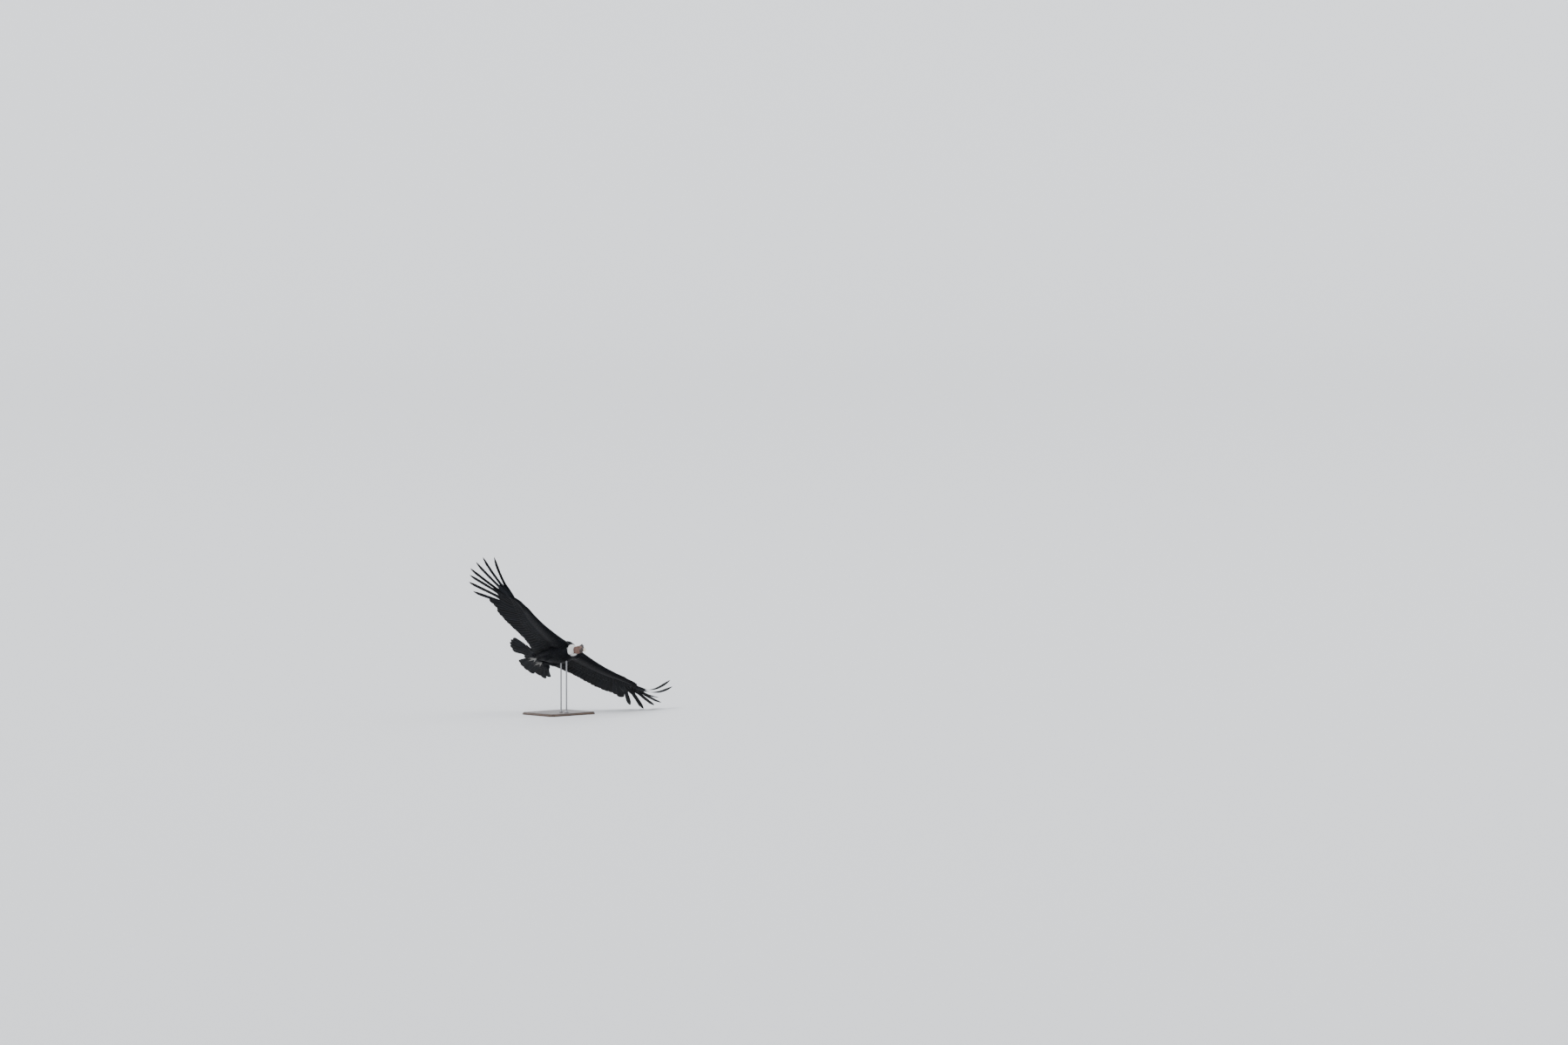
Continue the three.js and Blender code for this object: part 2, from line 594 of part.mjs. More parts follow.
const TAIL_CORE = [[-385, -3, 61, 32], [-430, -3, 60, 24], [-480, -2, 60, 14], [-530, -2, 44, 6], [-548, -2, 26, 2.5]];
function tail(clearOf) {
  const rings = Array.from({ length: 7 }, (_, i) => {
    const f = mix(-386, -548, i / 6);
    const [cz, rx, rz] = along(TAIL_CORE.map((s) => [-s[0], ...s.slice(1)]), -f);
    return ringAt(f, cz, rx, rz, 12, 2.1, -TAIL_ROLL * smooth((-f - 390) / 90));
  });
  const feathers = RECTRICES.map(([angle, length], i) => {
    const tilt = angle > -15 ? -0.05 : 0.05;
    const wide = i % 11 ? 78 : 98;
    return tailVane(angle, 1.4 - Math.abs(i - 5.5) * 0.5, length, wide, BROAD_STATIONS, tilt);
  });
  for (const [face, count, wide] of [[1, 6, 104], [-1, 5, 122]])
    for (let i = 0; i < count; i++) {
      const t = i / (count - 1);
      const side = Math.abs(t - 0.5);
      const tilt = t < 0.5 ? 0.03 : -0.03;
      const length = 215 - 36 * side;
      feathers.push(tailVane(mix(-70, 70, t), face * 14, length, wide, COVERT_STATIONS, tilt, face * (6 + side)));
    }
  return largest(fuse([loft(rings), ...feathers]).subtract(clearOf));
}

// The stand: a flat board with rounded corners, and two upright rods.
const BASE = { x: 640, y: 520, thick: 26, corner: 60 };
const ROD = { r: 8, y: [-129, -39], x: 0 };
function roundedBoard(x, y, r, thick, bevel) {
  const w = x / 2 - bevel;
  const h = y / 2 - bevel;
  const shape = new THREE.Shape();
  shape.absarc(w - r, h - r, r, 0, Math.PI / 2);
  shape.absarc(r - w, h - r, r, Math.PI / 2, Math.PI);
  shape.absarc(r - w, r - h, r, Math.PI, 1.5 * Math.PI);
  shape.absarc(w - r, r - h, r, 1.5 * Math.PI, 2 * Math.PI);
  const geometry = new THREE.ExtrudeGeometry(shape, {
    depth: thick - 2 * bevel, bevelThickness: bevel, bevelSize: bevel, bevelSegments: 1, curveSegments: 3,
  });
  geometry.translate(0, 0, bevel);
  return geometry;
}

function rod(y, bodyInPlace) {
  const long = new THREE.CylinderGeometry(ROD.r, ROD.r, BODY_HEIGHT, 12);
  long.rotateX(Math.PI / 2);
  long.translate(ROD.x, y, BASE.thick + GAP + BODY_HEIGHT / 2);
  const collar = new THREE.CylinderGeometry(ROD.r + 4, 24, 14, 12);
  collar.rotateX(Math.PI / 2);
  collar.translate(ROD.x, y, BASE.thick + GAP + 7);
  const pieces = fuse([solidOf(long), solidOf(collar)]).subtract(bodyInPlace).decompose();
  return pieces.reduce((a, b) => (b.boundingBox().min[2] < a.boundingBox().min[2] ? b : a));
}

// Finishes.
const finish = (color, roughness, metalness = 0) => new THREE.MeshStandardMaterial({ color, roughness, metalness });
const FINISH = {
  plumage: finish(0x17161a, 0.75),
  skin: finish(0x8a6253, 0.6),
  comb: finish(0x3a2023, 0.55),
  down: finish(0xf2f0ea, 0.95),
  horn: finish(0xece2c9, 0.35),
  eye: finish(0x5a3217, 0.1),
  shank: finish(0x8d8b88, 0.7),
  claw: finish(0x2b2624, 0.4),
  board: finish(0x3b2a20, 0.5),
  rod: finish(0x8c8c90, 0.3, 0.9),
};

// A named mesh from a solid, in the bird's frame.
function meshOf(name, solid, material) {
  const { numProp, vertProperties, triVerts } = solid.getMesh();
  const points = new Float32Array((vertProperties.length / numProp) * 3);
  for (let i = 0; i < points.length / 3; i++) points.set(vertProperties.subarray(i * numProp, i * numProp + 3), i * 3);
  const geometry = new THREE.BufferGeometry();
  geometry.setAttribute("position", new THREE.BufferAttribute(points, 3));
  geometry.setIndex(new THREE.BufferAttribute(triVerts, 1));
  geometry.computeVertexNormals();
  const mesh = new THREE.Mesh(geometry, material);
  mesh.name = name;
  return mesh;
}

const condor = new THREE.Group();
condor.rotation.set(-PITCH, BANK, 0, "XYZ");
condor.position.set(0, -BODY_AHEAD, BODY_HEIGHT);

const torsoSolid = torso();
const torsoRoom = torso(GAP);
const neckRoom = neck(GAP);
condor.add(meshOf("torso", torsoSolid, FINISH.plumage));
condor.add(meshOf("neck", largest(neck().subtract(torsoRoom)), FINISH.skin));
condor.add(meshOf("ruff", largest(ruff().subtract(torsoRoom).subtract(neckRoom)), FINISH.down));
condor.add(meshOf("tail", tail(torsoRoom), FINISH.plumage));
for (const side of ["left", "right"])
  for (const part of ["arm", "forearm", "hand"])
    condor.add(meshOf(`wing_${side}_${part}`, wingPart(side, part, torsoRoom), FINISH.plumage));

for (const [side, sign] of [["left", 1], ["right", -1]]) {
  condor.add(meshOf(`thigh_${side}`, largest(thigh(sign).subtract(torsoRoom)), FINISH.plumage));
  const claws = TOES.map((t) => claw(sign, t));
  const rooms = TOES.map((t) => toe(sign, t));
  condor.add(meshOf(`foot_${side}`, foot(sign, thigh(sign, GAP).add(torsoRoom)), FINISH.shank));
  claws.forEach((c, i) => {
    const grown = rooms[i].add(rooms[i].translate([0, GAP, 0])).add(rooms[i].translate([0, 0, -GAP])).add(rooms[i].translate([0, -GAP, 0]));
    condor.add(meshOf(`claw_${side}_${i + 1}`, largest(c.subtract(grown)), FINISH.claw));
  });
}

const headGroup = new THREE.Group();
headGroup.position.copy(HEAD_AT);
headGroup.rotation.set(HEAD_PITCH, 0, 0);
headGroup.scale.setScalar(HEAD_SIZE);
headGroup.updateMatrix();
const toHead = headGroup.matrix.clone().invert().elements;
const skullRoom = skull(GAP);
const bill = upperBill().subtract(skullRoom);
const jaw = lowerBill().subtract(skullRoom);
headGroup.add(meshOf("head", head([neckRoom.transform(toHead)]), FINISH.skin));
headGroup.add(meshOf("comb", largest(comb().subtract(skullRoom)), FINISH.comb));
headGroup.add(meshOf("bill_upper", largest(bill), FINISH.horn));
headGroup.add(meshOf("bill_lower", largest(jaw.subtract(bill)), FINISH.horn));
for (const [side, sign] of [["left", 1], ["right", -1]]) headGroup.add(meshOf(`eye_${side}`, eye(sign), FINISH.eye));
condor.add(headGroup);

condor.updateMatrix();
const bodyInPlace = torsoRoom.transform(condor.matrix.elements);
const base = new THREE.Mesh(roundedBoard(BASE.x, BASE.y, BASE.corner, BASE.thick, 4), FINISH.board);
base.name = "stand_base";
const stand = new THREE.Group();
stand.add(base);
ROD.y.forEach((y, i) => stand.add(meshOf(`stand_rod_${i + 1}`, rod(y, bodyInPlace), FINISH.rod)));

const part = new THREE.Group();
part.add(condor, stand);
export default part;
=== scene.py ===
"""An adult male Andean condor in a banked, soaring turn, life size, on a plain museum stand.

The bird is built in its own level frame in millimetres, x to its left, y to its back and z up, from
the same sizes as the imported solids. Stance turns it into metres in the world over the stand.
"""
from __future__ import annotations

import logging
import math
from dataclasses import dataclass
from enum import Enum
from typing import Callable, Sequence

import bpy
import numpy as np
from mathutils import Matrix, Vector, noise
from mathutils.kdtree import KDTree

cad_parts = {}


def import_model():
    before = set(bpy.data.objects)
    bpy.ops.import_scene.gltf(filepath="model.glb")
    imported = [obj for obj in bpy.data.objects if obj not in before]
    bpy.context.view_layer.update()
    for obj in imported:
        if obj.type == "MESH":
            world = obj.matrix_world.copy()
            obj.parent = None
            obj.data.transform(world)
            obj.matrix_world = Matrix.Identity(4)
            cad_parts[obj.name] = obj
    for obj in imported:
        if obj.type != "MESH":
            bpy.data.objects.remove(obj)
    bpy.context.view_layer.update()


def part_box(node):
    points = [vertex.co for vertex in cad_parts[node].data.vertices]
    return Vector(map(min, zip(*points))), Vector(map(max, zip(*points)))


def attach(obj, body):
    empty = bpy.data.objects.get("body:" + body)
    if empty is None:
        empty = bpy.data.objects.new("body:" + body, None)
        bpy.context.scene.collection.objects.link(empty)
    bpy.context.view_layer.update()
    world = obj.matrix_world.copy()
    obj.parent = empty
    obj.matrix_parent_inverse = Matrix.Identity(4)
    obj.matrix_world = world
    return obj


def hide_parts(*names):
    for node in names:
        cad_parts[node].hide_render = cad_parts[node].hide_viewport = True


LOG = logging.getLogger("condor")
Array = np.ndarray
Color = tuple[float, float, float]
Rows = tuple[tuple[float, ...], ...]
Settings = dict[str, object]
Inputs = dict[str | int, object]
Node = bpy.types.Node
Socket = bpy.types.NodeSocket
Material = bpy.types.Material
MM = 0.001
# Side of one feather's or tuft's patch on the bake map.
PATCH = 0.003
TAU = 2 * math.pi
UP = np.array([0.0, 0.0, 1.0])


class Side(Enum):
    """The bird's own left or right, as the sign of x."""

    LEFT = 1
    RIGHT = -1

    @property
    def word(self) -> str:
        """The side's name in lower case."""
        return self.name.lower()


class Face(Enum):
    """The upper or lower face of a wing or tail, as the sign of its height."""

    UPPER = 1
    LOWER = -1

    @property
    def word(self) -> str:
        """The face's name in lower case."""
        return self.name.lower()


def smooth(t: Array | float) -> Array:
    """A soft step from 0 at 0 to 1 at 1."""
    t = np.clip(t, 0, 1)
    return t * t * (3 - 2 * t)


def mix(a: Array | float, b: Array | float, t: Array | float) -> Array:
    """The value at share t from a to b."""
    return a + (np.asarray(b) - a) * t


def bump(x: Array, centre: float, width: float) -> Array:
    """A bell of height 1 at centre that falls off over width."""
    return np.exp(-(((x - centre) / width) ** 2))


def place_from(left: float, forward: float, up: float) -> Array:
    """A point of the bird's frame from its left, forward and upward distances."""
    return np.array([left, -forward, up], float)


class Profile:
    """A smooth curve through stations, each a place with one value or more."""

    def __init__(self, stations: Sequence[Sequence[float]]) -> None:
        """Keeps the stations.

        Args:
            stations: Rows of place and values, in rising or falling order of place.
        """
        rows = np.array(sorted(stations), float)
        self.at = rows[:, 0]
        self.values = rows[:, 1:]
        steps = np.diff(self.at)[:, None]
        slopes = np.diff(self.values, axis=0) / steps
        inner = (self.values[2:] - self.values[:-2]) / (self.at[2:] - self.at[:-2])[:, None]
        self.slope = np.vstack([slopes[:1], inner, slopes[-1:]])

    def __call__(self, x: Array | float) -> Array:
        """The values at each place, with the values as the last axis."""
        x = np.clip(np.asarray(x, float), self.at[0], self.at[-1])
        i = np.clip(np.searchsorted(self.at, x, side="right") - 1, 0, len(self.at) - 2)
        step = (self.at[i + 1] - self.at[i])[..., None]
        t = (x - self.at[i])[..., None] / step
        b, c = self.values[i], self.values[i + 1]
        mb, mc = self.slope[i] * step, self.slope[i + 1] * step
        start = (2 * t**3 - 3 * t**2 + 1) * b + (t**3 - 2 * t**2 + t) * mb
        return start + (3 * t**2 - 2 * t**3) * c + (t**3 - t**2) * mc

    def one(self, x: Array | float) -> Array:
        """The first value at each place."""
        return self(x)[..., 0]


@dataclass(frozen=True)
class Stance:
    """How the bird is held over the stand."""

    bank: float = math.radians(32.7)
    pitch: float = math.radians(9.7)
    height: float = 668.0
    ahead: float = 84.0

    @property
    def turn(self) -> Array:
        """The rotation from the bird's frame to the world's."""
        return np.array(Matrix.Rotation(-self.pitch, 3, "X") @ Matrix.Rotation(self.bank, 3, "Y"))

    def to_world(self, points: Array) -> Array:
        """Points of the bird's frame in millimetres, as metres in the world."""
        return (points @ self.turn.T + [0, -self.ahead, self.height]) * MM

    def to_bird(self, points: Array) -> Array:
        """Points of the world in metres, as millimetres in the bird's frame."""
        return (points / MM - [0, -self.ahead, self.height]) @ self.turn


STANCE = Stance()


def feed(tree: bpy.types.NodeTree, socket: Socket, value: object) -> None:
    """Links an input to a Sock or an output, or gives it a plain value."""
    value = value.socket if isinstance(value, Sock) else value
    if isinstance(value, Socket):
        tree.links.new(value, socket)
    else:
        socket.default_value = value


def add_node(tree: bpy.types.NodeTree, kind: str, settings: Settings | None, inputs: Inputs | None) -> Node:
    """Adds one node to a tree.

    Args:
        tree: The tree.
        kind: The node's type.
        settings: Its properties, set first.
        inputs: Values or links of its sockets, by name or number.

    Returns:
        The node.
    """
    made = tree.nodes.new(kind)
    for name, value in (settings or {}).items():
        setattr(made, name, value)
    for name, value in (inputs or {}).items():
        feed(tree, made.inputs[name], value)
    return made


class Sock:
    """A shader socket that takes part in Python expressions."""

    def __init__(self, paint: Paint, socket: Socket) -> None:
        """Wraps one output socket of a paint's tree."""
        self.paint = paint
        self.socket = socket

    def _math(self, operation: str, a: object, b: object) -> Sock:
        """A Math node of two values, each a Sock or a number."""
        node = self.paint.node("ShaderNodeMath", {"operation": operation}, {0: a, 1: b})
        return Sock(self.paint, node.outputs[0])

    def __add__(self, other: object) -> Sock:
        """Sum."""
        return self._math("ADD", self, other)

    __radd__ = __add__

    def __sub__(self, other: object) -> Sock:
        """Difference."""
        return self._math("SUBTRACT", self, other)

    def __mul__(self, other: object) -> Sock:
        """Product."""
        return self._math("MULTIPLY", self, other)

    __rmul__ = __mul__

    def __abs__(self) -> Sock:
        """Size without sign."""
        return self._math("ABSOLUTE", self, 0.0)

    def sine(self) -> Sock:
        """Sine of the value in radians."""
        return self._math("SINE", self, 0.0)

    def step(self, low: float, high: float) -> Sock:
        """A soft step from 0 at low to 1 at high, or falling where low is past high."""
        settings = {"interpolation_type": "SMOOTHSTEP"}
        ends = {"From Min": min(low, high), "From Max": max(low, high)}
        sides = {"To Min": 0.0, "To Max": 1.0} if low < high else {"To Min": 1.0, "To Max": 0.0}
        node = self.paint.node("ShaderNodeMapRange", settings, {"Value": self, **ends, **sides})
        return Sock(self.paint, node.outputs[0])


class Paint:
    """A material under construction, with one method for every node."""

    def __init__(self, name: str) -> None:
        """Starts a material with a Principled shader wired to its output."""
        self.material = bpy.data.materials.new(name)
        self.material.use_nodes = True
        self.tree = self.material.node_tree
        self.tree.nodes.clear()
        self.shader = self.node("ShaderNodeBsdfPrincipled")
        self.node("ShaderNodeOutputMaterial", None, {"Surface": self.shader.outputs[0]})

    def node(self, kind: str, settings: Settings | None = None, inputs: Inputs | None = None) -> Node:
        """Adds one node, with its settings first and then its sockets' values or links."""
        return add_node(self.tree, kind, settings, inputs)

    def attribute(self, name: str) -> Sock:
        """A number kept on the mesh."""
        node = self.node("ShaderNodeAttribute", {"attribute_name": name})
        return Sock(self, node.outputs["Fac"])

    def place(self, scale: Sequence[float] = (1.0, 1.0, 1.0)) -> Socket:
        """The object's own coordinates in metres, each times its scale."""
        here = self.node("ShaderNodeTexCoord").outputs["Object"]
        return self.node("ShaderNodeMapping", None, {"Vector": here, "Scale": scale}).outputs[0]

    def noise(self, scale: float, detail: float = 3.0, where: Socket | None = None) -> Sock:
        """Noise of that many cells a metre."""
        inputs = {"Vector": where or self.place(), "Scale": scale, "Detail": detail}
        return Sock(self, self.node("ShaderNodeTexNoise", None, inputs).outputs["Fac"])

    def cells(self, scale: float, feature: str) -> Sock:
        """Distances in cells of that many a metre."""
        inputs = {"Vector": self.place(), "Scale": scale}
        node = self.node("ShaderNodeTexVoronoi", {"feature": feature}, inputs)
        return Sock(self, node.outputs["Distance"])

    def blend(self, share: object, a: object, b: object) -> Socket:
        """A colour at share from a to b, each three numbers or a socket."""
        a, b = ((*c, 1) if isinstance(c, tuple) else c for c in (a, b))
        node = self.node("ShaderNodeMix", {"data_type": "RGBA"}, {0: share, 6: a, 7: b})
        return node.outputs[2]

    def bump(self, height: Sock, depth: float, strength: float = 1.0) -> None:
        """Feeds the shader's normal from a height in shares of depth, in metres."""
        inputs = {"Height": height, "Distance": depth, "Strength": strength}
        feed(self.tree, self.shader.inputs["Normal"], self.node("ShaderNodeBump", None, inputs).outputs[0])

    def set(self, **values: object) -> None:
        """Sets or links the shader's sockets, named with underscores for spaces."""
        for name, value in values.items():
            feed(self.tree, self.shader.inputs[name.replace("_", " ")], value)


@dataclass(frozen=True)
class PlumageFinish:
    """Glossy black feathers, with pale panels where the mesh says so."""

    name: str = "black_plumage"
    black: Color = (0.0022, 0.0023, 0.0028)
    brown: Color = (0.006, 0.005, 0.0042)
    sheen: Color = (0.004, 0.0054, 0.0085)
    white: Color = (0.66, 0.655, 0.64)
    grey: Color = (0.43, 0.42, 0.4)
    barbs: float = 0.0012

    def build(self) -> Material:
        """The material."""
        p = Paint(self.name)
        tone, along, across, panel = (p.attribute(n) for n in ("tone", "along", "across", "panel"))
        uv = p.node("ShaderNodeUVMap", {"uv_map": "vane"})
        parts = p.node("ShaderNodeSeparateXYZ", None, {0: uv.outputs[0]})
        x, y = Sock(p, parts.outputs[0]), Sock(p, parts.outputs[1])
        ridges = ((y - abs(x) * 0.9) * (TAU / self.barbs)).sine() * 0.5 + 0.5
        mottle = p.noise(60.0, 4.0)
        dark = p.blend(tone, self.black, self.sheen)
        worn = along.step(0.8, 1.0) * 0.5 + mottle * 0.35
        dark = p.blend(worn * tone.step(0.2, 0.9), dark, self.brown)
        ragged = across + (p.noise(160.0) - 0.5) * 0.12
        white = p.blend(mottle * 0.5, self.white, self.grey)
        p.set(
            Base_Color=p.blend(panel * ragged.step(-0.04, 0.05) * along.step(0.985, 0.93), dark, white),
            Roughness=0.42 + mottle * 0.16 + ridges * 0.05 + panel * 0.15,
            Specular_IOR_Level=0.07,
        )
        p.bump(ridges, 0.00015, 0.5)
        return p.material


@dataclass(frozen=True)
class DownFinish:
    """White down of the ruff, greyer at its roots."""

    name: str = "white_down"
    tip: Color = (0.93, 0.925, 0.915)
    root: Color = (0.7, 0.685, 0.66)

    def build(self) -> Material:
        """The material."""
        p = Paint(self.name)
        # whiter from each tuft's root to its tip, with some random tone
        whitening = p.attribute("along").step(0.0, 0.45) * 0.8 + p.attribute("tone") * 0.2
        p.set(
            Base_Color=p.blend(whitening, self.root, self.tip),
            Roughness=0.88 + p.noise(300.0) * 0.1,
            Sheen_Weight=0.25,
            Subsurface_Weight=0.12,
            Subsurface_Radius=(0.006, 0.0055, 0.005),
        )
        return p.material


@dataclass(frozen=True)
class SkinFinish:
    """Bare skin of head and feet, dark about the bill's root, with painted shade in its creases and grooves,
    and plain and dark under the feathers.
    """

    name: str = "bare_skin"
    face: Color = (0.112, 0.06, 0.043)
    flush: Color = (0.165, 0.072, 0.054)
    # crease: painted shade for the head's creases and fine wrinkle lines
    crease: Color = (0.034, 0.018, 0.014)
    cere: Color = (0.022, 0.014, 0.0135)
    covered: Color = (0.012, 0.012, 0.014)
    downy: Color = (0.62, 0.6, 0.57)
    scale: Color = (0.15, 0.145, 0.138)
    worn: Color = (0.24, 0.233, 0.222)
    # groove: painted shade for the scales' sunken edges and the grooves between scutes
    groove: Color = (0.07, 0.065, 0.06)

    def build(self) -> Material:
        """The material."""
        p = Paint(self.name)
        fold, head, foot, down, cere = (p.attribute(n) for n in ("fold", "head", "foot", "downy", "cere"))
        blotch = p.noise(55.0, 4.0).step(0.35, 0.7)
        pores = p.cells(900.0, "SMOOTH_F1")
        lines = p.noise(420.0, 5.0)
        flesh = p.blend(blotch * 0.7, self.face, self.flush)
        flesh = p.blend((cere + (blotch - 0.5) * 0.45).step(0.15, 0.85), flesh, self.cere)
        # painted shade in the fine wrinkle lines, where the bump sinks
        flesh = p.blend(lines.step(0.58, 0.36) * 0.35, flesh, self.crease)
        # painted shade in the creases, from the fold mask
        flesh = p.blend(fold.step(0.05, 1.0), flesh, self.crease)
        scales = p.cells(340.0, "DISTANCE_TO_EDGE")
        horn = p.blend(p.noise(90.0) * 0.6, self.scale, self.worn)
        # painted shade along the scales' sunken edges
        horn = p.blend(scales.step(0.12, 0.0) * 0.7, horn, self.groove)
        # painted shade in the grooves between scutes
        horn = p.blend(fold.step(0.05, 1.0), horn, self.groove)
        color = p.blend(down, self.covered, self.downy)
        color = p.blend(head, color, flesh)
        color = p.blend(foot, color, horn)
        p.set(
            Base_Color=color,
            Roughness=0.5 + lines * 0.15 + foot * 0.08,
            Subsurface_Weight=0.06,
            Subsurface_Radius=(0.004, 0.0015, 0.001),
        )
        relief = pores * 0.35 + lines * 0.8 + scales.step(0.0, 0.2) * foot
        p.bump(relief, 0.0005, 0.6)
        return p.material


@dataclass(frozen=True)
class CombFinish:
    """The dark, rough flesh of the comb and the bill's root."""

    name: str = "comb_flesh"
    dark: Color = (0.014, 0.01, 0.011)
    red: Color = (0.042, 0.019, 0.019)

    def build(self) -> Material:
        """The material."""
        p = Paint(self.name)
        warts = p.cells(420.0, "SMOOTH_F1")
        grain = p.noise(700.0, 5.0)
        p.set(
            Base_Color=p.blend(p.noise(90.0, 4.0).step(0.4, 0.75) * 0.8, self.dark, self.red),
            Roughness=0.42 + grain * 0.2,
            Subsurface_Weight=0.04,
            Subsurface_Radius=(0.003, 0.001, 0.001),
        )
        p.bump(warts * 0.8 + grain * 0.4, 0.0007, 0.6)
        return p.material


@dataclass(frozen=True)
class HornFinish:
    """Horn that runs from a root colour to a tip colour along its length."""

    name: str
    root: Color
    tip: Color
    turn_from: float
    turn_to: float
    roughness: float = 0.3

    def build(self) -> Material:
        """The material."""
        p = Paint(self.name)
        along = p.attribute("along")
        streak = p.noise(240.0, 5.0)
        wear = p.noise(900.0, 3.0)
        share = (along + (streak - 0.5) * 0.16).step(self.turn_from, self.turn_to)
        stained = p.blend(streak * 0.35, self.tip, tuple(c * 0.62 for c in self.tip))
        p.set(
            Base_Color=p.blend(share, self.root, stained),
            Roughness=self.roughness + wear * 0.2,
            Coat_Weight=0.15,
            Coat_Roughness=0.25,
        )
        p.bump(streak * 0.6 + wear * 0.3, 0.0003, 0.5)
        return p.material


@dataclass(frozen=True)
class EyeFinish:
    """An eye by the angle from its axis: pupil, brown iris and dark rim, under a wet coat."""

    name: str = "wet_eye"
    pupil: Color = (0.002, 0.002, 0.002)
    iris: Color = (0.055, 0.024, 0.011)
    ray: Color = (0.14, 0.064, 0.028)
    rim: Color = (0.01, 0.007, 0.006)

    def build(self) -> Material:
        """The material."""
        p = Paint(self.name)
        ring, ray = p.attribute("along"), p.attribute("across")
        streaks = (ray * 70.0).sine() * 0.5 + 0.5
        iris = p.blend(streaks * 0.5 + p.noise(1500.0) * 0.4, self.iris, self.ray)
        color = p.blend(ring.step(0.15, 0.175), self.pupil, iris)
        color = p.blend(ring.step(0.33, 0.37), color, self.rim)
        p.set(Base_Color=color, Roughness=0.12, Coat_Weight=1.0, Coat_Roughness=0.03)
        return p.material


@dataclass(frozen=True)
class BoardFinish:
    """Dark stained wood of the stand's board."""

    name: str = "stained_wood"
    dark: Color = (0.022, 0.0115, 0.0065)
    light: Color = (0.07, 0.036, 0.019)

    def build(self) -> Material:
        """The material."""
        p = Paint(self.name)
        stretched = p.place((1.0, 14.0, 14.0))
        grain = p.noise(9.0, 8.0, stretched)
        pores = p.noise(90.0, 3.0, stretched)
        p.set(
            Base_Color=p.blend(grain.step(0.3, 0.7), self.dark, self.light),
            Roughness=0.34 + pores * 0.2,
            Coat_Weight=0.2,
            Coat_Roughness=0.2,
        )
        p.bump(pores * 0.5 + grain * 0.4, 0.0004, 0.5)
        return p.material


@dataclass(frozen=True)
class SteelFinish:
    """Brushed steel of the rods."""

    name: str = "brushed_steel"
    dark: Color = (0.17, 0.17, 0.18)
    bright: Color = (0.3, 0.3, 0.31)

    def build(self) -> Material:
        """The material."""
        p = Paint(self.name)
        lines = p.noise(60.0, 4.0, p.place((1.0, 1.0, 30.0)))
        p.set(
            Base_Color=p.blend(lines, self.dark, self.bright),
            Metallic=0.55,
            Roughness=0.26 + lines * 0.18,
        )
        p.bump(lines, 0.0001, 0.4)
        return p.material


@dataclass(frozen=True)
class StudioFinish:
    """The plain pale floor and backdrop."""

    name: str = "studio_paper"
    color: Color = (0.8, 0.81, 0.825)

    def build(self) -> Material:
        """The material."""
        p = Paint(self.name)
        p.set(Base_Color=(*self.color, 1), Roughness=0.9, Specular_IOR_Level=0.1)
        return p.material


class Piece:
    """A mesh in the bird's frame or the world's, gathered from arrays before it becomes an object."""

    def __init__(self, name: str) -> None:
        """Starts an empty piece."""
        self.name = name
        self.points: list[Array] = []
        self.faces: list[Array] = []
        self.numbers: dict[str, list[Array]] = {}
        self.maps: dict[str, list[Array]] = {}
        self.count = 0

    def add(
        self,
        points: Array,
        faces: Array,
        numbers: dict[str, Array] | None = None,
        maps: dict[str, Array] | None = None,
    ) -> None:
        """Adds points with their faces.

        Args:
            points: Points, n by 3, in the frame that finish is told.
            faces: Quads or triangles as rows of point numbers, where -1 ends a triangle.
            numbers: Values of each point by attribute name.
            maps: Flat coordinates of each point by map name.
        """
        points = np.asarray(points, float).reshape(-1, 3)
        self.points.append(points)
        faces = np.asarray(faces)
        self.faces.append(np.where(faces < 0, -1, faces + self.count))
        self.count += len(points)
        for name, value in (numbers or {}).items():
            self.numbers.setdefault(name, []).append(np.broadcast_to(value, len(points)))
        for name, value in (maps or {}).items():
            self.maps.setdefault(name, []).append(np.asarray(value).reshape(-1, 2))

    def add_tube(
        self, rings: Array, numbers: dict[str, Array] | None = None, maps: dict[str, Array] | None = None
    ) -> None:
        """Adds a tube with closed ends, its faces outwards.

        Args:
            rings: Points, rings by points of a ring by 3.
            numbers: The same as for add.
            maps: The same as for add.
        """
        points = capped(rings)
        self.add(points, closed_outwards(points, tube_faces(*rings.shape[:2])), numbers, maps)

    def finish(self, world: bool = False) -> bpy.types.Object:
        """Makes the object, smooth shaded and at the origin.

        Args:
            world: Whether the points are metres of the world already.

        Returns:
            The object, linked to the scene.
        """
        points = np.vstack(self.points)
        points = points if world else STANCE.to_world(points)
        rows = [np.pad(f, ((0, 0), (0, 4 - f.shape[1])), constant_values=-1) for f in self.faces]
        rows = np.vstack(rows)
        sizes = (rows >= 0).sum(1)
        corners = rows[rows >= 0]
        mesh = bpy.data.meshes.new(self.name)
        mesh.vertices.add(len(points))
        mesh.vertices.foreach_set("co", points.astype(np.float32).ravel())
        mesh.loops.add(len(corners))
        mesh.loops.foreach_set("vertex_index", corners.astype(np.int32))
        mesh.polygons.add(len(rows))
        starts = np.concatenate([[0], np.cumsum(sizes)[:-1]])
        mesh.polygons.foreach_set("loop_start", starts.astype(np.int32))
        mesh.update(calc_edges=True)
        mesh.validate()
        for name, parts in self.numbers.items():
            layer = mesh.attributes.new(name, "FLOAT", "POINT")
            layer.data.foreach_set("value", np.concatenate(parts).astype(np.float32))
        for name, parts in self.maps.items():
            layer = mesh.uv_layers.new(name=name)
            flat = np.vstack(parts)[corners]
            layer.data.foreach_set("uv", flat.astype(np.float32).ravel())
        mesh.polygons.foreach_set("use_smooth", np.ones(len(rows), bool))
        made = bpy.data.objects.new(self.name, mesh)
        bpy.context.scene.collection.objects.link(made)
        return made


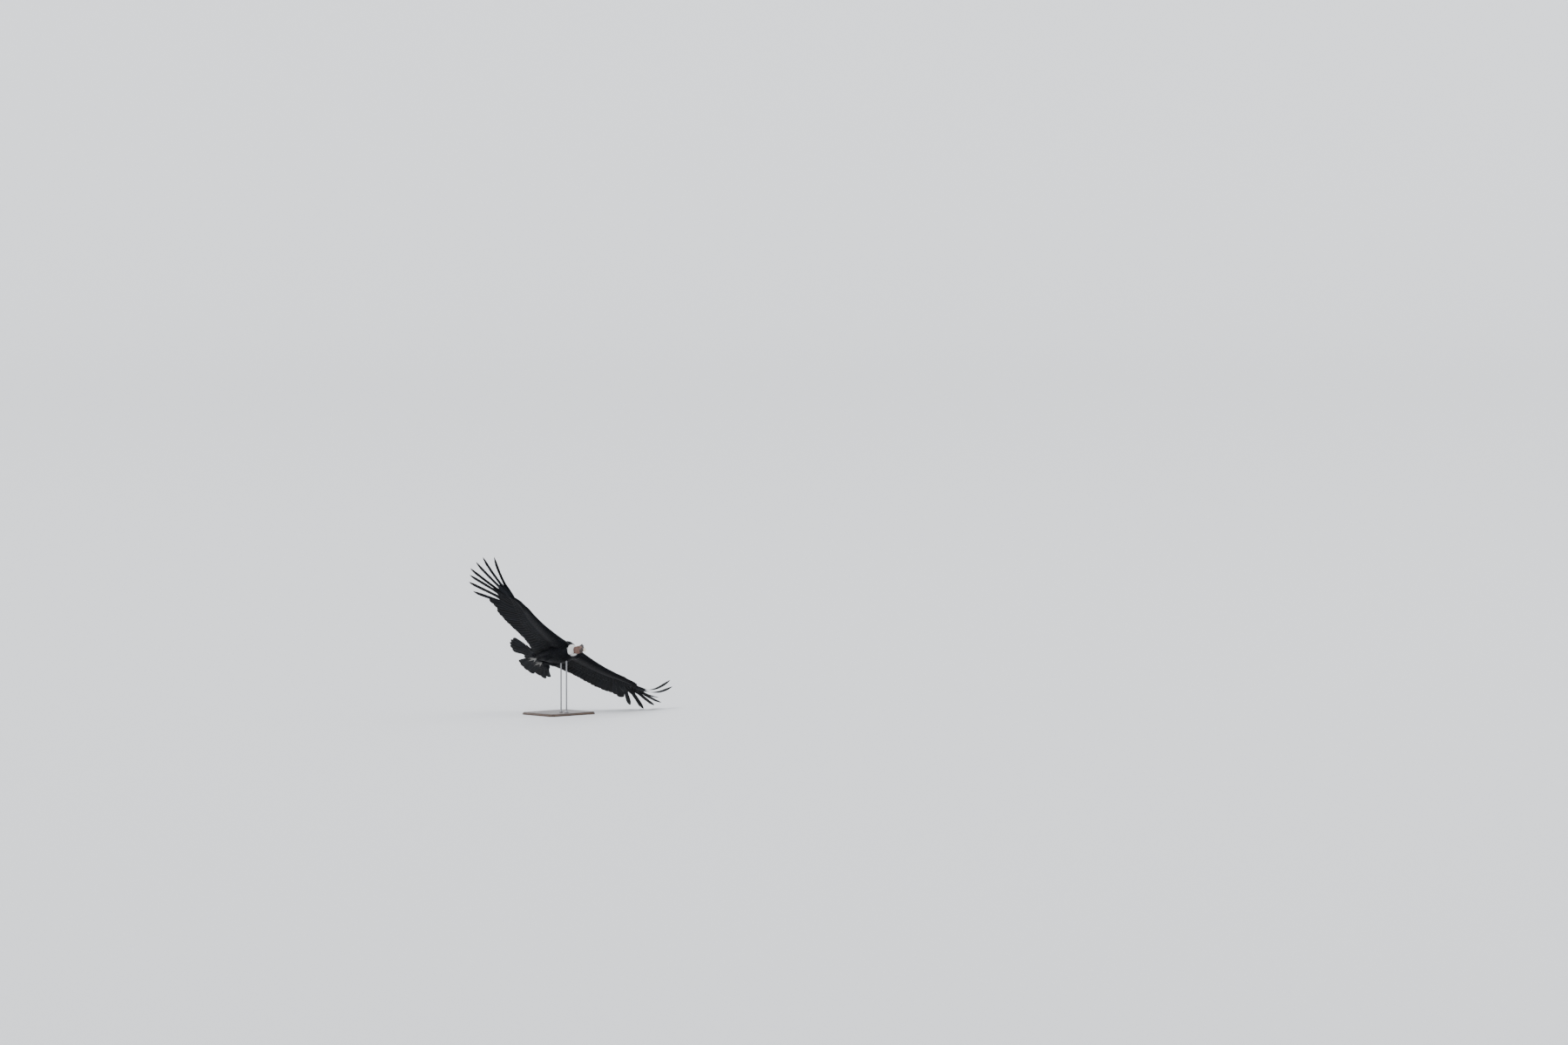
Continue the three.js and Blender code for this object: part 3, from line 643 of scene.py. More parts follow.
def grid_faces(rows: int, columns: int, closed: bool = False, start: int = 0, flip: bool = False) -> Array:
    """Quads over a grid of points laid out row by row.

    Args:
        rows: Number of rows.
        columns: Number of points in a row.
        closed: Whether each row closes on itself.
        start: Number of the first point.
        flip: Whether the quads turn the other way.

    Returns:
        The quads.
    """
    r, c = np.meshgrid(np.arange(rows - 1), np.arange(columns if closed else columns - 1), indexing="ij")
    after = (c + 1) % columns
    here, above = r * columns, (r + 1) * columns
    quads = np.stack([here + c, here + after, above + after, above + c], -1).reshape(-1, 4) + start
    return quads[:, ::-1] if flip else quads


def tube_faces(rings: int, around: int) -> Array:
    """Faces of a closed tube whose last two points are the middles of its ends."""
    first, last = rings * around, rings * around + 1
    k = np.arange(around)
    after = (k + 1) % around
    none = np.full(around, -1)
    near = np.stack([after, k, np.full(around, first), none], -1)
    end = (rings - 1) * around
    far = np.stack([end + k, end + after, np.full(around, last), none], -1)
    return np.vstack([grid_faces(rings, around, closed=True), near, far])


def capped(rings: Array) -> Array:
    """The points of a tube's rings with the middles of its ends after them."""
    return np.vstack([rings.reshape(-1, 3), rings[0].mean(0), rings[-1].mean(0)])


def superellipse(around: int, power: float = 2.0) -> Array:
    """A unit ring with full shoulders, as pairs of across and up."""
    a = TAU * np.arange(around) / around
    c, s = np.cos(a), np.sin(a)
    return np.stack([np.sign(c) * np.abs(c) ** (2 / power), np.sign(s) * np.abs(s) ** (2 / power)], -1)


def sweep(centres: Array, radii: Array, around: int, up: Array, power: float = 2.0) -> Array:
    """Rings along a path, upright to it.

    Args:
        centres: Path points, n by 3.
        radii: Half width and half height at each, n by 2.
        around: Points of a ring.
        up: The direction that the rings' tops face.
        power: Fullness of the rings' shoulders.

    Returns:
        Points, n by around by 3.
    """
    way = np.gradient(centres, axis=0)
    way /= np.linalg.norm(way, axis=1, keepdims=True)
    across = np.cross(way, up)
    across /= np.linalg.norm(across, axis=1, keepdims=True)
    over = np.cross(across, way)
    ring = superellipse(around, power)
    return (
        centres[:, None]
        + across[:, None] * (ring[None, :, :1] * radii[:, None, :1])
        + over[:, None] * (ring[None, :, 1:] * radii[:, None, 1:])
    )


def turned_round(radii: Array, heights: Array, around: int) -> Array:
    """Rings of points round the Z axis, one for each radius and height."""
    a = TAU * np.arange(around) / around
    return np.stack([np.outer(radii, np.cos(a)), np.outer(radii, np.sin(a)), heights[:, None] + 0 * a], -1)


def direction(azimuth: float, elevation: float) -> Vector:
    """The way from the scene to a place round to its left by azimuth and up by elevation, in degrees."""
    a, e = math.radians(azimuth), math.radians(elevation)
    return Vector((math.sin(a) * math.cos(e), -math.cos(a) * math.cos(e), math.sin(e)))


def settled(made: bpy.types.Object, name: str) -> bpy.types.Object:
    """A new object whose plain mesh is the given one's after its modifiers."""
    graph = bpy.context.evaluated_depsgraph_get()
    mesh = bpy.data.meshes.new_from_object(made.evaluated_get(graph), depsgraph=graph)
    mesh.name = name
    plain = bpy.data.objects.new(name, mesh)
    bpy.context.scene.collection.objects.link(plain)
    return plain


def dress(
    made: bpy.types.Object,
    material: Material,
    replaced: Sequence[str] = (),
) -> bpy.types.Object:
    """Gives a piece its finish, its body and the nodes that it stands for.

    Args:
        made: The piece.
        material: Its finish.
        replaced: CAD nodes that it stands for.

    Returns:
        The same piece.
    """
    made.data.materials.clear()
    made.data.materials.append(material)
    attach(made, "root")
    if replaced:
        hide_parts(*replaced)
    LOG.info("%s: %d faces", made.name, len(made.data.polygons))
    return made


@dataclass(frozen=True)
class WingForm:
    """One wing's flesh and reach, with u outward from the midline, v forward and w up.

    The edge and rim hold the leading and trailing edges, chord_of and thick_of the flesh's depth and
    thickness, each along u. The hand bends up past the wrist over a stretch of bend.
    """

    side: Side
    sweep: float
    twist: float
    root_shorter: float
    root: float = 100.0
    height: float = 27.0
    dihedral: float = math.tan(math.radians(3.25))
    hand_rise: float = 0.075
    wrist: float = 650.0
    camber: float = 22.0
    depth: float = 5.0
    bend: float = 80.0
    edge: Profile = Profile(
        (
            (60, 136), (100, 138), (200, 134), (300, 126), (450, 119), (600, 126), (720, 134),
            (850, 127), (935, 99), (960, 80),
        )
    )  # fmt: skip
    rim: Profile = Profile(
        (
            (60, -392), (140, -372), (200, -340), (350, -297), (500, -284), (700, -273),
            (850, -255), (950, -240), (1080, -216),
        )
    )  # fmt: skip
    chord_of: Profile = Profile(((60, 220), (350, 190), (600, 150), (720, 112), (860, 62), (935, 34)))
    thick_of: Profile = Profile(((60, 92), (110, 78), (200, 54), (400, 38), (650, 27), (800, 19), (935, 9)))

    def leading(self, u: Array) -> Array:
        """The leading edge's v at u."""
        return self.edge.one(u)

    def trailing(self, u: Array) -> Array:
        """The trailing edge's v at u."""
        return self.rim.one(u) + self.root_shorter * (1 - smooth((u - 60) / 260))

    def chord(self, u: Array) -> Array:
        """The flesh's depth behind the leading edge at u."""
        return self.chord_of.one(u)

    @staticmethod
    def bulge(x: Array) -> Array:
        """Half the height of an aerofoil of unit thickness at share x of its chord."""
        x = np.clip(x, 0, 1)
        return (1.48 * np.sqrt(x) - 0.63 * x - 1.76 * x**2 + 1.42 * x**3 - 0.51 * x**4) * 2

    def flesh(self, u: Array, v: Array) -> Array:
        """Height of the flesh over the middle plane at u and v."""
        x = (self.leading(u) - v) / self.chord(u)
        thick = self.thick_of.one(u)
        return np.maximum(thick / 2 * self.bulge(x), 0) - self.depth * smooth(thick / 30)

    def point(self, u: Array, v: Array, w: Array) -> Array:
        """Points of the bird's frame from the wing's own coordinates."""
        u, v, w = np.broadcast_arrays(np.asarray(u, float), v, w)
        out = u - self.root
        bend = self.bend * np.log1p(np.exp((u - self.wrist) / self.bend)) * self.hand_rise
        depth = np.clip((self.leading(np.minimum(u, 950)) - v) / 420, 0, 1)
        z = self.height + self.dihedral * out + bend + self.twist * v - self.camber * depth**2 + w
        return np.stack([self.side.value * u, -(v + self.sweep * out), z], -1)


def wing_form(side: Side) -> WingForm:
    """The wing on one side, swept, twisted and shortened as the turn has it."""
    if side is Side.LEFT:
        return WingForm(side, math.tan(math.radians(3.5)), math.tan(math.radians(6.7)), 26.0)
    return WingForm(side, math.tan(math.radians(4.8)), math.tan(math.radians(3.2)), 0.0)


@dataclass(frozen=True)
class TailForm:
    """The plane of the tail, with u to the right, v forward of the fan's root and w up."""

    root: float = -400.0
    roll: float = math.radians(13.6)
    drop: float = -2.0

    def point(self, u: Array, v: Array, w: Array) -> Array:
        """Points of the bird's frame from the tail's own coordinates."""
        u, v, w = np.broadcast_arrays(np.asarray(u, float), v, w)
        roll = self.roll * smooth((40 - v) / 90)
        x = w * np.sin(roll) - u * np.cos(roll)
        return np.stack([x, -(self.root + v), self.drop + w * np.cos(roll) + u * np.sin(roll)], -1)


@dataclass(frozen=True)
class BodyForm:
    """A rounded length of body, with u round it from its left side over its top, v forward and w outward.

    The stations hold the distance forward, the centre's x and z, and half the width and height.
    """

    stations: Rows
    power: float = 2.0
    grow: float = 0.0
    unit: float = 100.0

    @property
    def curve(self) -> Profile:
        """The stations as a smooth curve."""
        return Profile(self.stations)

    def girth(self, v: Array) -> Array:
        """The mean radius at v."""
        return self.curve(v)[..., 2:4].mean(-1)

    def point(self, u: Array, v: Array, w: Array) -> Array:
        """Points of the bird's frame, with u as an angle times unit."""
        u, v, w = np.broadcast_arrays(np.asarray(u, float), v, w)
        cx, cz, rx, rz = np.moveaxis(self.curve(v), -1, 0)
        c, s = np.cos(u / self.unit), np.sin(u / self.unit)
        x = np.sign(c) * np.abs(c) ** (2 / self.power)
        z = np.sign(s) * np.abs(s) ** (2 / self.power)
        return np.stack([cx + x * (rx + self.grow + w), -v, cz + z * (rz + self.grow + w)], -1)

    def rings(self, start: float, end: float, count: int, around: int) -> Array:
        """Rings of the form from start to end forward."""
        v = np.linspace(start, end, count)
        u = TAU * self.unit * np.arange(around) / around
        return self.point(u[None], v[:, None], 0.0)


TORSO = BodyForm(
    (
        (-400, 0, -3, 62, 30), (-340, 0, -6, 76, 42), (-270, 0, -10, 90, 59), (-190, 0, -12, 106, 80),
        (-110, 0, -9, 118, 93), (-40, 0, -1, 122, 100), (20, 0, 9, 117, 103), (70, 0, 17, 102, 96),
        (110, 0, 19, 80, 81), (140, 0, 16, 56, 58),
    ),
    power=2.2,
    grow=-9.0,
)  # fmt: skip


def thigh_form(side: Side) -> BodyForm:
    """A thigh laid back along the belly."""
    rows = (
        (-20, 58, -49, 30), (-55, 60, -54, 33), (-90, 61, -60, 36), (-130, 62, -67, 38),
        (-185, 59, -75, 37), (-240, 53, -69, 29), (-290, 46, -64, 20), (-325, 43, -60, 13),
    )  # fmt: skip
    return BodyForm(tuple((f, side.value * x, z, r * 0.8, r) for f, x, z, r in rows), grow=-6.0)


def finger_shape(s: Array) -> Array:
    """Width along an outer primary, narrowed past a third of its length and rounded at its tip."""
    waist = mix(1, 0.58, smooth((s - 0.34) / 0.16))
    return mix(0.16, 1, smooth(s / 0.22)) * waist * np.sqrt(np.clip((1.0 - s) / 0.12, 0, 1))


def broad_shape(s: Array) -> Array:
    """Width along a broad flight feather with a rounded end."""
    return mix(0.2, 1, smooth(s / 0.35)) * np.clip(1 - np.clip((s - 0.84) / 0.16, 0, 1) ** 2.6, 0, 1) ** 0.5


def covert_shape(s: Array) -> Array:
    """Width along a covert or body feather, broadest near its round end."""
    return mix(0.35, 1, smooth(s / 0.5)) * np.clip(1 - np.clip((s - 0.62) / 0.38, 0, 1) ** 2.4, 0, 1) ** 0.5


@dataclass(frozen=True)
class VaneForm:
    """The outline and section that a kind of feather has."""

    steps: int
    ribs: int
    shape: Callable[[Array], Array]
    lead: float = 0.5
    thick: float = 0.7
    quill: float = 0.0
    camber: float = 0.0
    ragged: float = 0.0
    tip_dense: float = 1.7

    def faces(self) -> Array:
        """The faces of one closed vane, its top grid first and its underside after it."""
        n = self.steps * self.ribs
        top = grid_faces(self.steps, self.ribs)
        low = grid_faces(self.steps, self.ribs, start=n, flip=True)
        r, last = self.ribs, (self.steps - 1) * self.ribs
        rim = []
        for k in range(r - 1):
            rim += [(k + 1, k), (last + k, last + k + 1)]
        for i in range(self.steps - 1):
            rim += [(i * r, (i + 1) * r), ((i + 1) * r + r - 1, i * r + r - 1)]
        sides = [(a, b, b + n, a + n) for a, b in rim]
        return np.vstack([top, low, np.array(sides)])[:, ::-1]


@dataclass
class Feathers:
    """A set of feathers as equal arrays: where each is rooted, how it leans, and its size."""

    u: Array
    v: Array
    lean: Array
    length: Array
    width: Array
    low: Array | float = 0.0
    high: Array | float = 0.0
    lift: Array | float = 0.0
    rise: Array | float = 2.0
    turn: Array | float = 0.0
    tilt: Array | float = 0.0
    twist: Array | float = 0.0
    panel: Array | float = 0.0
    face: Face = Face.UPPER

    def column(self, name: str) -> Array:
        """One field as a column over feathers."""
        return np.broadcast_to(np.asarray(getattr(self, name), float), (len(self.u),))[:, None, None]


class Plumage:
    """Grows rows of feathers on a ground and adds them to a piece."""

    def __init__(self, piece: Piece, ground: WingForm | TailForm | BodyForm, seed: int) -> None:
        """Keeps the piece and the ground that the feathers grow on."""
        self.piece = piece
        self.ground = ground
        self.random = np.random.default_rng(seed)

    def grow(self, kind: VaneForm, row: Feathers, strips: tuple[int, int] | None = None) -> None:
        """Adds a row of feathers.

        Args:
            kind: The feathers' form.
            row: Their places and sizes.
            strips: For large feathers, the first strip of the OFBake map and the number of strips.
        """
        count = len(row.u)
        s = 1 - (1 - np.linspace(0, 1, kind.steps)) ** kind.tip_dense
        t = np.linspace(-1, 1, kind.ribs)
        s3, t3 = s[None, :, None], t[None, None, :]
        heading = row.column("lean") + row.column("turn") * (s3 - 1) / 2
        edge = heading + row.column("turn") * s3 / 2
        length, width = row.column("length"), row.column("width")
        outline = np.maximum(kind.shape(s), 0.04)[None, :, None]
        if kind.ragged:
            phase = self.random.uniform(0, TAU, (2, count, 1, 1))
            notch = np.sin(s3 * 37 + phase[0]) * np.sin(s3 * 61 + phase[1])
            outline = outline * (1 - kind.ragged * np.clip(notch, 0, 1) ** 2 * smooth(s3 * 3 - 0.4))
        share = np.where(t3 > 0, kind.lead, 1 - kind.lead)
        off = t3 * width * outline * share
        cu = row.column("u") + np.sin(heading) * s3 * length
        cv = row.column("v") - np.cos(heading) * s3 * length
        pu = cu + np.cos(edge) * off
        pv = cv + np.sin(edge) * off
        sign = row.face.value
        high = mix(row.column("low"), row.column("high"), s3**0.8)
        high = high + row.column("lift") * s3 ** row.column("rise")
        slant = row.column("tilt") + row.column("twist") * smooth(s3 * 1.6 - 0.3)
        high = high + sign * slant * off - kind.camber * width * (off / width) ** 2
        if isinstance(self.ground, WingForm):
            high = high + np.maximum(self.ground.flesh(pu, pv), 0) * (0 if kind.quill > 1 else 1)
        half = kind.thick / 2 * (1 - 0.55 * np.abs(t3)) * (1 - 0.5 * s3)
        spine = kind.quill * (np.abs(t3) < 1e-6) * (1 - 0.85 * s3)
        top = self.ground.point(pu, pv, sign * high + half + spine * 0.5)
        low = self.ground.point(pu, pv, sign * high - half - spine)
        points = np.stack([top, low], 1).reshape(-1, 3)
        first = np.arange(count)[:, None, None] * 2 * kind.steps * kind.ribs
        faces = closed_outwards(points, (kind.faces()[None] + first).reshape(-1, 4))
        self.piece.add(points, faces, *self.marks(row, s3, t3, off, strips))

    def marks(
        self, row: Feathers, s: Array, t: Array, off: Array, strips: tuple[int, int] | None
    ) -> tuple[dict[str, Array], dict[str, Array]]:
        """What the points of a row of feathers keep for their finish.

        Args:
            row: The feathers.
            s: Share of a feather's length at each step.
            t: Place across it at each rib, from -1 to 1.
            off: How far each point lies from the quill, feathers by steps by ribs.
            strips: The same as for grow.

        Returns:
            Numbers by attribute name, and flat coordinates by map name.
        """

        def spread(values: Array, below: Array | None = None) -> Array:
            """Values of the grid for the top and the underside of each feather."""
            top = np.broadcast_to(values, off.shape)
            under = top if below is None else np.broadcast_to(below, off.shape)
            return np.stack([top, under], 1).ravel()

        count = len(row.u)
        panel = row.column("panel") * (row.face is Face.UPPER)
        numbers = {
            "along": spread(s),
            "across": spread(t),
            "tone": spread(self.random.uniform(0, 1, (count, 1, 1))),
            "panel": spread(panel, panel * 0.0 if strips else None),
        }
        vane = np.stack([spread(off * MM), spread(s * row.column("length") * MM)], -1)
        if strips:
            start, total = strips
            cell = (start + np.arange(count))[:, None, None] / total
            bx = cell + (0.08 + 0.84 * (t + 1) / 2) / total
            bake = np.stack([spread(bx), spread(0.51 + 0.47 * s, 0.02 + 0.47 * s)], -1)
        else:
            bx, by = self.root_on_map(row)
            bake = np.stack([spread(bx + (t + 1) * PATCH / 2), spread(by + s * PATCH)], -1)
        return numbers, {"OFBake": bake, "vane": vane}

    def root_on_map(self, row: Feathers) -> tuple[Array, Array]:
        """Each root's place on the unwrap of the ground's own shape."""
        if isinstance(self.ground, WingForm):
            reach = ((-60, 1000), (-450, 200))
        else:
            reach = ((-330, 630), (-420, 420))
        places = (row.column("u"), row.column("v"))
        return tuple((at - low) / (high - low) * 0.96 + 0.015 for at, (low, high) in zip(places, reach))


@dataclass
class Wing:
    """A spread wing: its flight feathers and the tiers of coverts on both of its faces.

    The rows of primaries hold length, lean in degrees and lift of the tip, from the innermost outwards.
    The first few are broad, the others are fingers, and those lifted past curled turn on edge as they rise.
    """

    side: Side
    secondaries: int = 18
    broad_primaries: int = 3
    curled: float = 220.0
    finger: VaneForm = VaneForm(46, 9, finger_shape, lead=0.36, thick=1.3, quill=2.3, camber=0.1, ragged=0.1)
    broad: VaneForm = VaneForm(34, 9, broad_shape, lead=0.4, thick=1.1, quill=1.7, camber=0.08, ragged=0.1)
    great: VaneForm = VaneForm(13, 5, covert_shape, lead=0.44, thick=0.8, quill=0.5, camber=0.16, ragged=0.06)
    small: VaneForm = VaneForm(7, 3, covert_shape, lead=0.5, thick=0.6, quill=0.3, camber=0.2)

    RIGHT_PRIMARIES = (
        (342, 38, 0), (368, 42, 0), (406, 45, 4), (590, 46, 20), (645, 56, 23), (662, 67, 8),
        (672, 69.5, 50), (650, 78, 78), (600, 83, 134), (470, 87, 199),
    )  # fmt: skip
    LEFT_PRIMARIES = (
        (358, 38, 0), (388, 42, 0), (430, 45, 0), (590, 50.5, 4), (645, 60.5, -8), (662, 67, 44),
        (672, 70, 86), (640, 65, 150), (600, 76, 257), (470, 79.5, 278),
    )  # fmt: skip

    def __post_init__(self) -> None:
        """Takes the form of the wing on this side."""
        self.form = wing_form(self.side)

    def primaries(self) -> tuple[Feathers, Feathers]:
        """The inner broad primaries and the outer fingers, from the innermost outwards."""
        rows = np.array(self.LEFT_PRIMARIES if self.side is Side.LEFT else self.RIGHT_PRIMARIES, float)
        place = np.arange(len(rows)) / (len(rows) - 1)

        def pick(part: slice, turn: float) -> Feathers:
            """Those of one kind, whose tips turn by that many degrees."""
            length, lean, lift = rows[part].T
            t, curled = place[part], lift > self.curled
            return Feathers(
                u=mix(690, 905, t),
                v=mix(40, 92, t),
                lean=np.radians(lean),
                length=length,
                width=mix(82, 66, t),
                lift=lift,
                rise=np.where(curled, 2.7, 1.9),
                tilt=0.055,
                turn=math.radians(turn),
                twist=np.where(curled, -0.7, 0.0),
            )

        return pick(slice(0, self.broad_primaries), 2), pick(slice(self.broad_primaries, None), -4)

    def inner_flight(self) -> Feathers:
        """The secondaries, from the wrist to the body."""
        i = np.arange(self.secondaries)
        t = i / (self.secondaries - 1)
        u = mix(668, 128, t)
        lean = np.radians(mix(35, -2, smooth(t * 1.15)))
        v = self.form.leading(u) - self.form.chord(u) + 18
        reach = v - self.form.trailing(u + np.sin(lean) * 280) + 3 * np.sin(i * 2.3)
        return Feathers(
            u=u,
            v=v,
            lean=lean,
            length=reach / np.cos(lean),
            width=np.full(len(u), 76.0),
            tilt=0.055,
            turn=math.radians(6),
            panel=np.where(t < 0.86, 1.0, 0.35),
        )

    def tier(
        self, face: Face, share: float, reach: float, count: int, width: float, level: tuple[float, float],
        panel: float = 0.0, to: float = 128.0, seed: int = 1,
    ) -> Feathers:  # fmt: skip
        """A row of coverts across one face of the wing.

        Args:
            face: The face that they lie on.
            share: Where they are rooted, as a share of the flesh's chord.
            reach: How far they pass the flesh's rear edge, or their length where it is negative.
            count: How many there are.
            width: Their width.
            level: Height over the flesh at root and tip.
            panel: How white they are.
            to: The u of the innermost.
            seed: Seed of their small differences.

        Returns:
            The row.
        """
        random = np.random.default_rng(seed + self.side.value)
        u = mix(892, to, np.arange(count) / (count - 1))
        form = self.form
        outer = mix(42, 78, (u - form.wrist) / 236)
        inner = mix(34, -2, smooth((form.wrist - u) / 480))
        v = form.leading(u) - form.chord(u) * share
        if reach > 0:
            inward = np.clip((form.wrist - u) / 100, 0, 1)
            length = form.chord(u) * (1 - share) + reach * mix(0.85, 1, inward)
        else:
            length = -reach * mix(0.72, 1.0, np.clip((900 - u) / 300, 0, 1))
        flatter = mix(1.0, 0.45, smooth((u - 700) / 110)) if share < 0.25 else 1.0
        return Feathers(
            u=u + random.normal(0, 1.2, count),
            v=v + random.normal(0, 1.5, count),
            lean=np.radians(np.where(u > form.wrist, outer, inner)) + random.normal(0, 0.035, count),
            length=length * random.normal(1, 0.03, count),
            width=np.full(count, width),
            low=level[0],
            high=level[1] * flatter,
            tilt=0.05,
            panel=panel * (u < form.wrist + 25) * (u > 150),
            face=face,
            turn=math.radians(5),
        )

    def build(self, plumage: Material) -> None:
        """Makes the wing's pieces and puts them in the place of its nodes."""
        word = self.side.word
        flight = Piece(f"flight_feathers_{word}")
        inner, fingers = self.primaries()
        plume = Plumage(flight, self.form, 11)
        total = len(self.LEFT_PRIMARIES) + self.secondaries
        plume.grow(self.broad, self.inner_flight(), (0, total))
        plume.grow(self.broad, inner, (self.secondaries, total))
        plume.grow(self.finger, fingers, (self.secondaries + self.broad_primaries, total))
        lengths = [f"wing_{word}_{part}" for part in ("hand", "forearm", "arm")]
        dress(flight.finish(), plumage, lengths)
        for face in Face:
            dress(self.coverts(face).finish(), plumage)

    def coverts(self, face: Face) -> Piece:
        """The tiers of coverts on one face, from the longest to the smallest at the leading edge."""
        piece = Piece(f"coverts_{face.word}_{self.side.word}")
        plume = Plumage(piece, self.form, 21 if face is Face.UPPER else 22)
        up = face is Face.UPPER
        if up:
            longest = self.tier(face, 0.78, 100, 30, 58, (1.5, 4.5), 0.92, seed=3)
        else:
            longest = self.tier(face, 0.78, 92, 30, 58, (1.5, 8.0), seed=3)
        plume.grow(self.great, longest)
        plume.grow(self.great, self.tier(face, 0.66, 52, 36, 48, (3, 7.5 if up else 9.5), seed=4))
        plume.grow(self.great, self.tier(face, 0.52, 18, 44, 42, (3.5, 9), seed=5))
        for i, share in enumerate(np.linspace(0.4, -0.01, 10)):
            length, count, width = mix(62, 32, i / 9), int(mix(58, 84, i / 9)), mix(36, 23, i / 9)
            level = (mix(2.0, 0.3, smooth(i - 7)), 8.5)
            row = self.tier(face, share, -length, count, width, level, to=66.0, seed=6 + i)
            plume.grow(self.small, row)
        if up:
            plume.grow(self.great, self.alula())
        plume.grow(self.small, self.shoulder(face))
        return piece

    def shoulder(self, face: Face) -> Feathers:
        """Soft feathers from the body's side back over the wing's root."""
        random = np.random.default_rng(60 + face.value)
        u, v = (g.ravel() for g in np.meshgrid(np.linspace(82, 150, 8), np.linspace(-108, 118, 14)))
        count = len(u)
        return Feathers(
            u=u + random.normal(0, 2.5, count),
            v=v + 8 * (np.arange(count) % 2) + random.normal(0, 3, count),
            lean=random.normal(-0.04, 0.07, count),
            length=random.normal(78, 5, count),
            width=np.full(count, 36.0),
            low=4.0,
            high=13.0,
            tilt=0.03,
            face=face,
        )

    def alula(self) -> Feathers:
        """The three small stiff feathers at the wrist."""
        i = np.arange(3)
        wrist = self.form.wrist
        return Feathers(
            u=wrist + 12 + i * 9,
            v=self.form.leading(wrist) - 20 + i * 5,
            lean=np.radians(72 + i * 7),
            length=128 - i * 26.0,
            width=np.full(3, 27.0),
            low=5.0,
            high=8.0 - i,
            lift=6.0,
            tilt=0.1,
        )


@dataclass
class Tail:
    """The fan of twelve tail feathers with the coverts over and under its root.

    The fan holds each feather's angle from straight back in degrees, and how far its tip lies from the root.
    """

    form: TailForm = TailForm()
    fan: Rows = (
        (66, 350), (56.5, 362), (46.5, 366), (37.5, 362), (28, 346), (-4, 364), (-11, 384), (-19, 392),
        (-28, 388), (-42.5, 348), (-54, 366), (-65, 318),
    )  # fmt: skip
    feather: VaneForm = VaneForm(34, 9, broad_shape, lead=0.5, thick=1.2, quill=2.0, camber=0.06, ragged=0.07)
    covert: VaneForm = VaneForm(12, 5, covert_shape, thick=0.8, quill=0.5, camber=0.15)
    tiers: Rows = ((226, 15), (186, 15), (146, 15), (106, 13))
    spread: float = 78.0

    def row(self, angle: Array, length: Array, width: Array, **more: object) -> Feathers:
        """Feathers from roots round the rump to tips at an angle and length from the fan's root."""
        a = np.radians(angle)
        root = np.stack([62 * np.sin(a), 30 - 32 * np.sin(a) ** 2], -1)
        tip = np.stack([length * np.sin(a), length * np.cos(a)], -1)
        way = tip - root
        lean = np.arctan2(way[:, 0], way[:, 1])
        length = np.hypot(*way.T)
        return Feathers(root[:, 0], -root[:, 1], lean, length, width, **more)

    def build(self, plumage: Material) -> None:
        """Makes the tail's one piece."""
        piece = Piece("tail_feathers")
        plume = Plumage(piece, self.form, 31)
        angle, length = np.array(self.fan, float).T
        count = len(self.fan)
        i = np.arange(count)
        width = np.where((i % (count - 1) == 0) | (abs(i - 8.5) < 1), 96.0, 78.0)
        level = 1.4 - abs(i - 5.5) * 0.5
        tilt = np.where(angle > -15, -0.05, 0.05)
        row = self.row(angle, length, width, low=level, high=level, tilt=tilt)
        plume.grow(self.feather, row, (0, count))
        for face in Face:
            for tier, (reach, count) in enumerate(self.tiers):
                a = np.linspace(-self.spread, self.spread, count)
                length = reach - 26 * (abs(a) / self.spread)
                low, high = 10.0 + 4.5 * tier, 6.0 + 2.5 * tier
                tilt = np.sign(-a) * 0.04
                row = self.row(a, length, np.full(count, 52.0), low=low, high=high, tilt=tilt, face=face)
                plume.grow(self.covert, row)
        dress(piece.finish(), plumage, ["tail"])


@dataclass
class BodyFeathers:
    """Small feathers in rows that overlap backwards over a rounded length of body."""

    name: str
    form: BodyForm
    front: float
    back: float
    pitch: float = 15.0
    length: tuple[float, float] = (46.0, 62.0)
    width: float = 33.0
    rise: tuple[float, float] = (1.5, 9.0)
    vane: VaneForm = VaneForm(7, 5, covert_shape, thick=0.6, quill=0.2, camber=0.2, ragged=0.05)

    def build(self, plumage: Material, seed: int) -> None:
        """Makes the piece, with rows from the back to the front."""
        piece = Piece(self.name)
        plume = Plumage(piece, self.form, seed)
        random = np.random.default_rng(seed)
        rows = int((self.front - self.back) / self.pitch)
        for i in range(rows):
            v = mix(self.back, self.front, i / (rows - 1))
            girth = float(self.form.girth(v))
            count = max(10, int(TAU * girth / (self.width * 0.52)))
            u = (np.arange(count) + 0.5 * (i % 2)) / count * TAU * self.form.unit
            scale = self.form.unit / girth
            size = mix(self.length[1], self.length[0], smooth(i / rows * 1.1))
            row = Feathers(
                u=u + random.normal(0, 2.0, count) * scale,
                v=v + random.normal(0, 2.5, count),
                lean=random.normal(0, 0.07, count),
                length=size * random.normal(1, 0.06, count),
                width=np.full(count, self.width * scale),
                low=self.rise[0],
                high=self.rise[1],
            )
            plume.grow(self.vane, row)
        dress(piece.finish(), plumage)


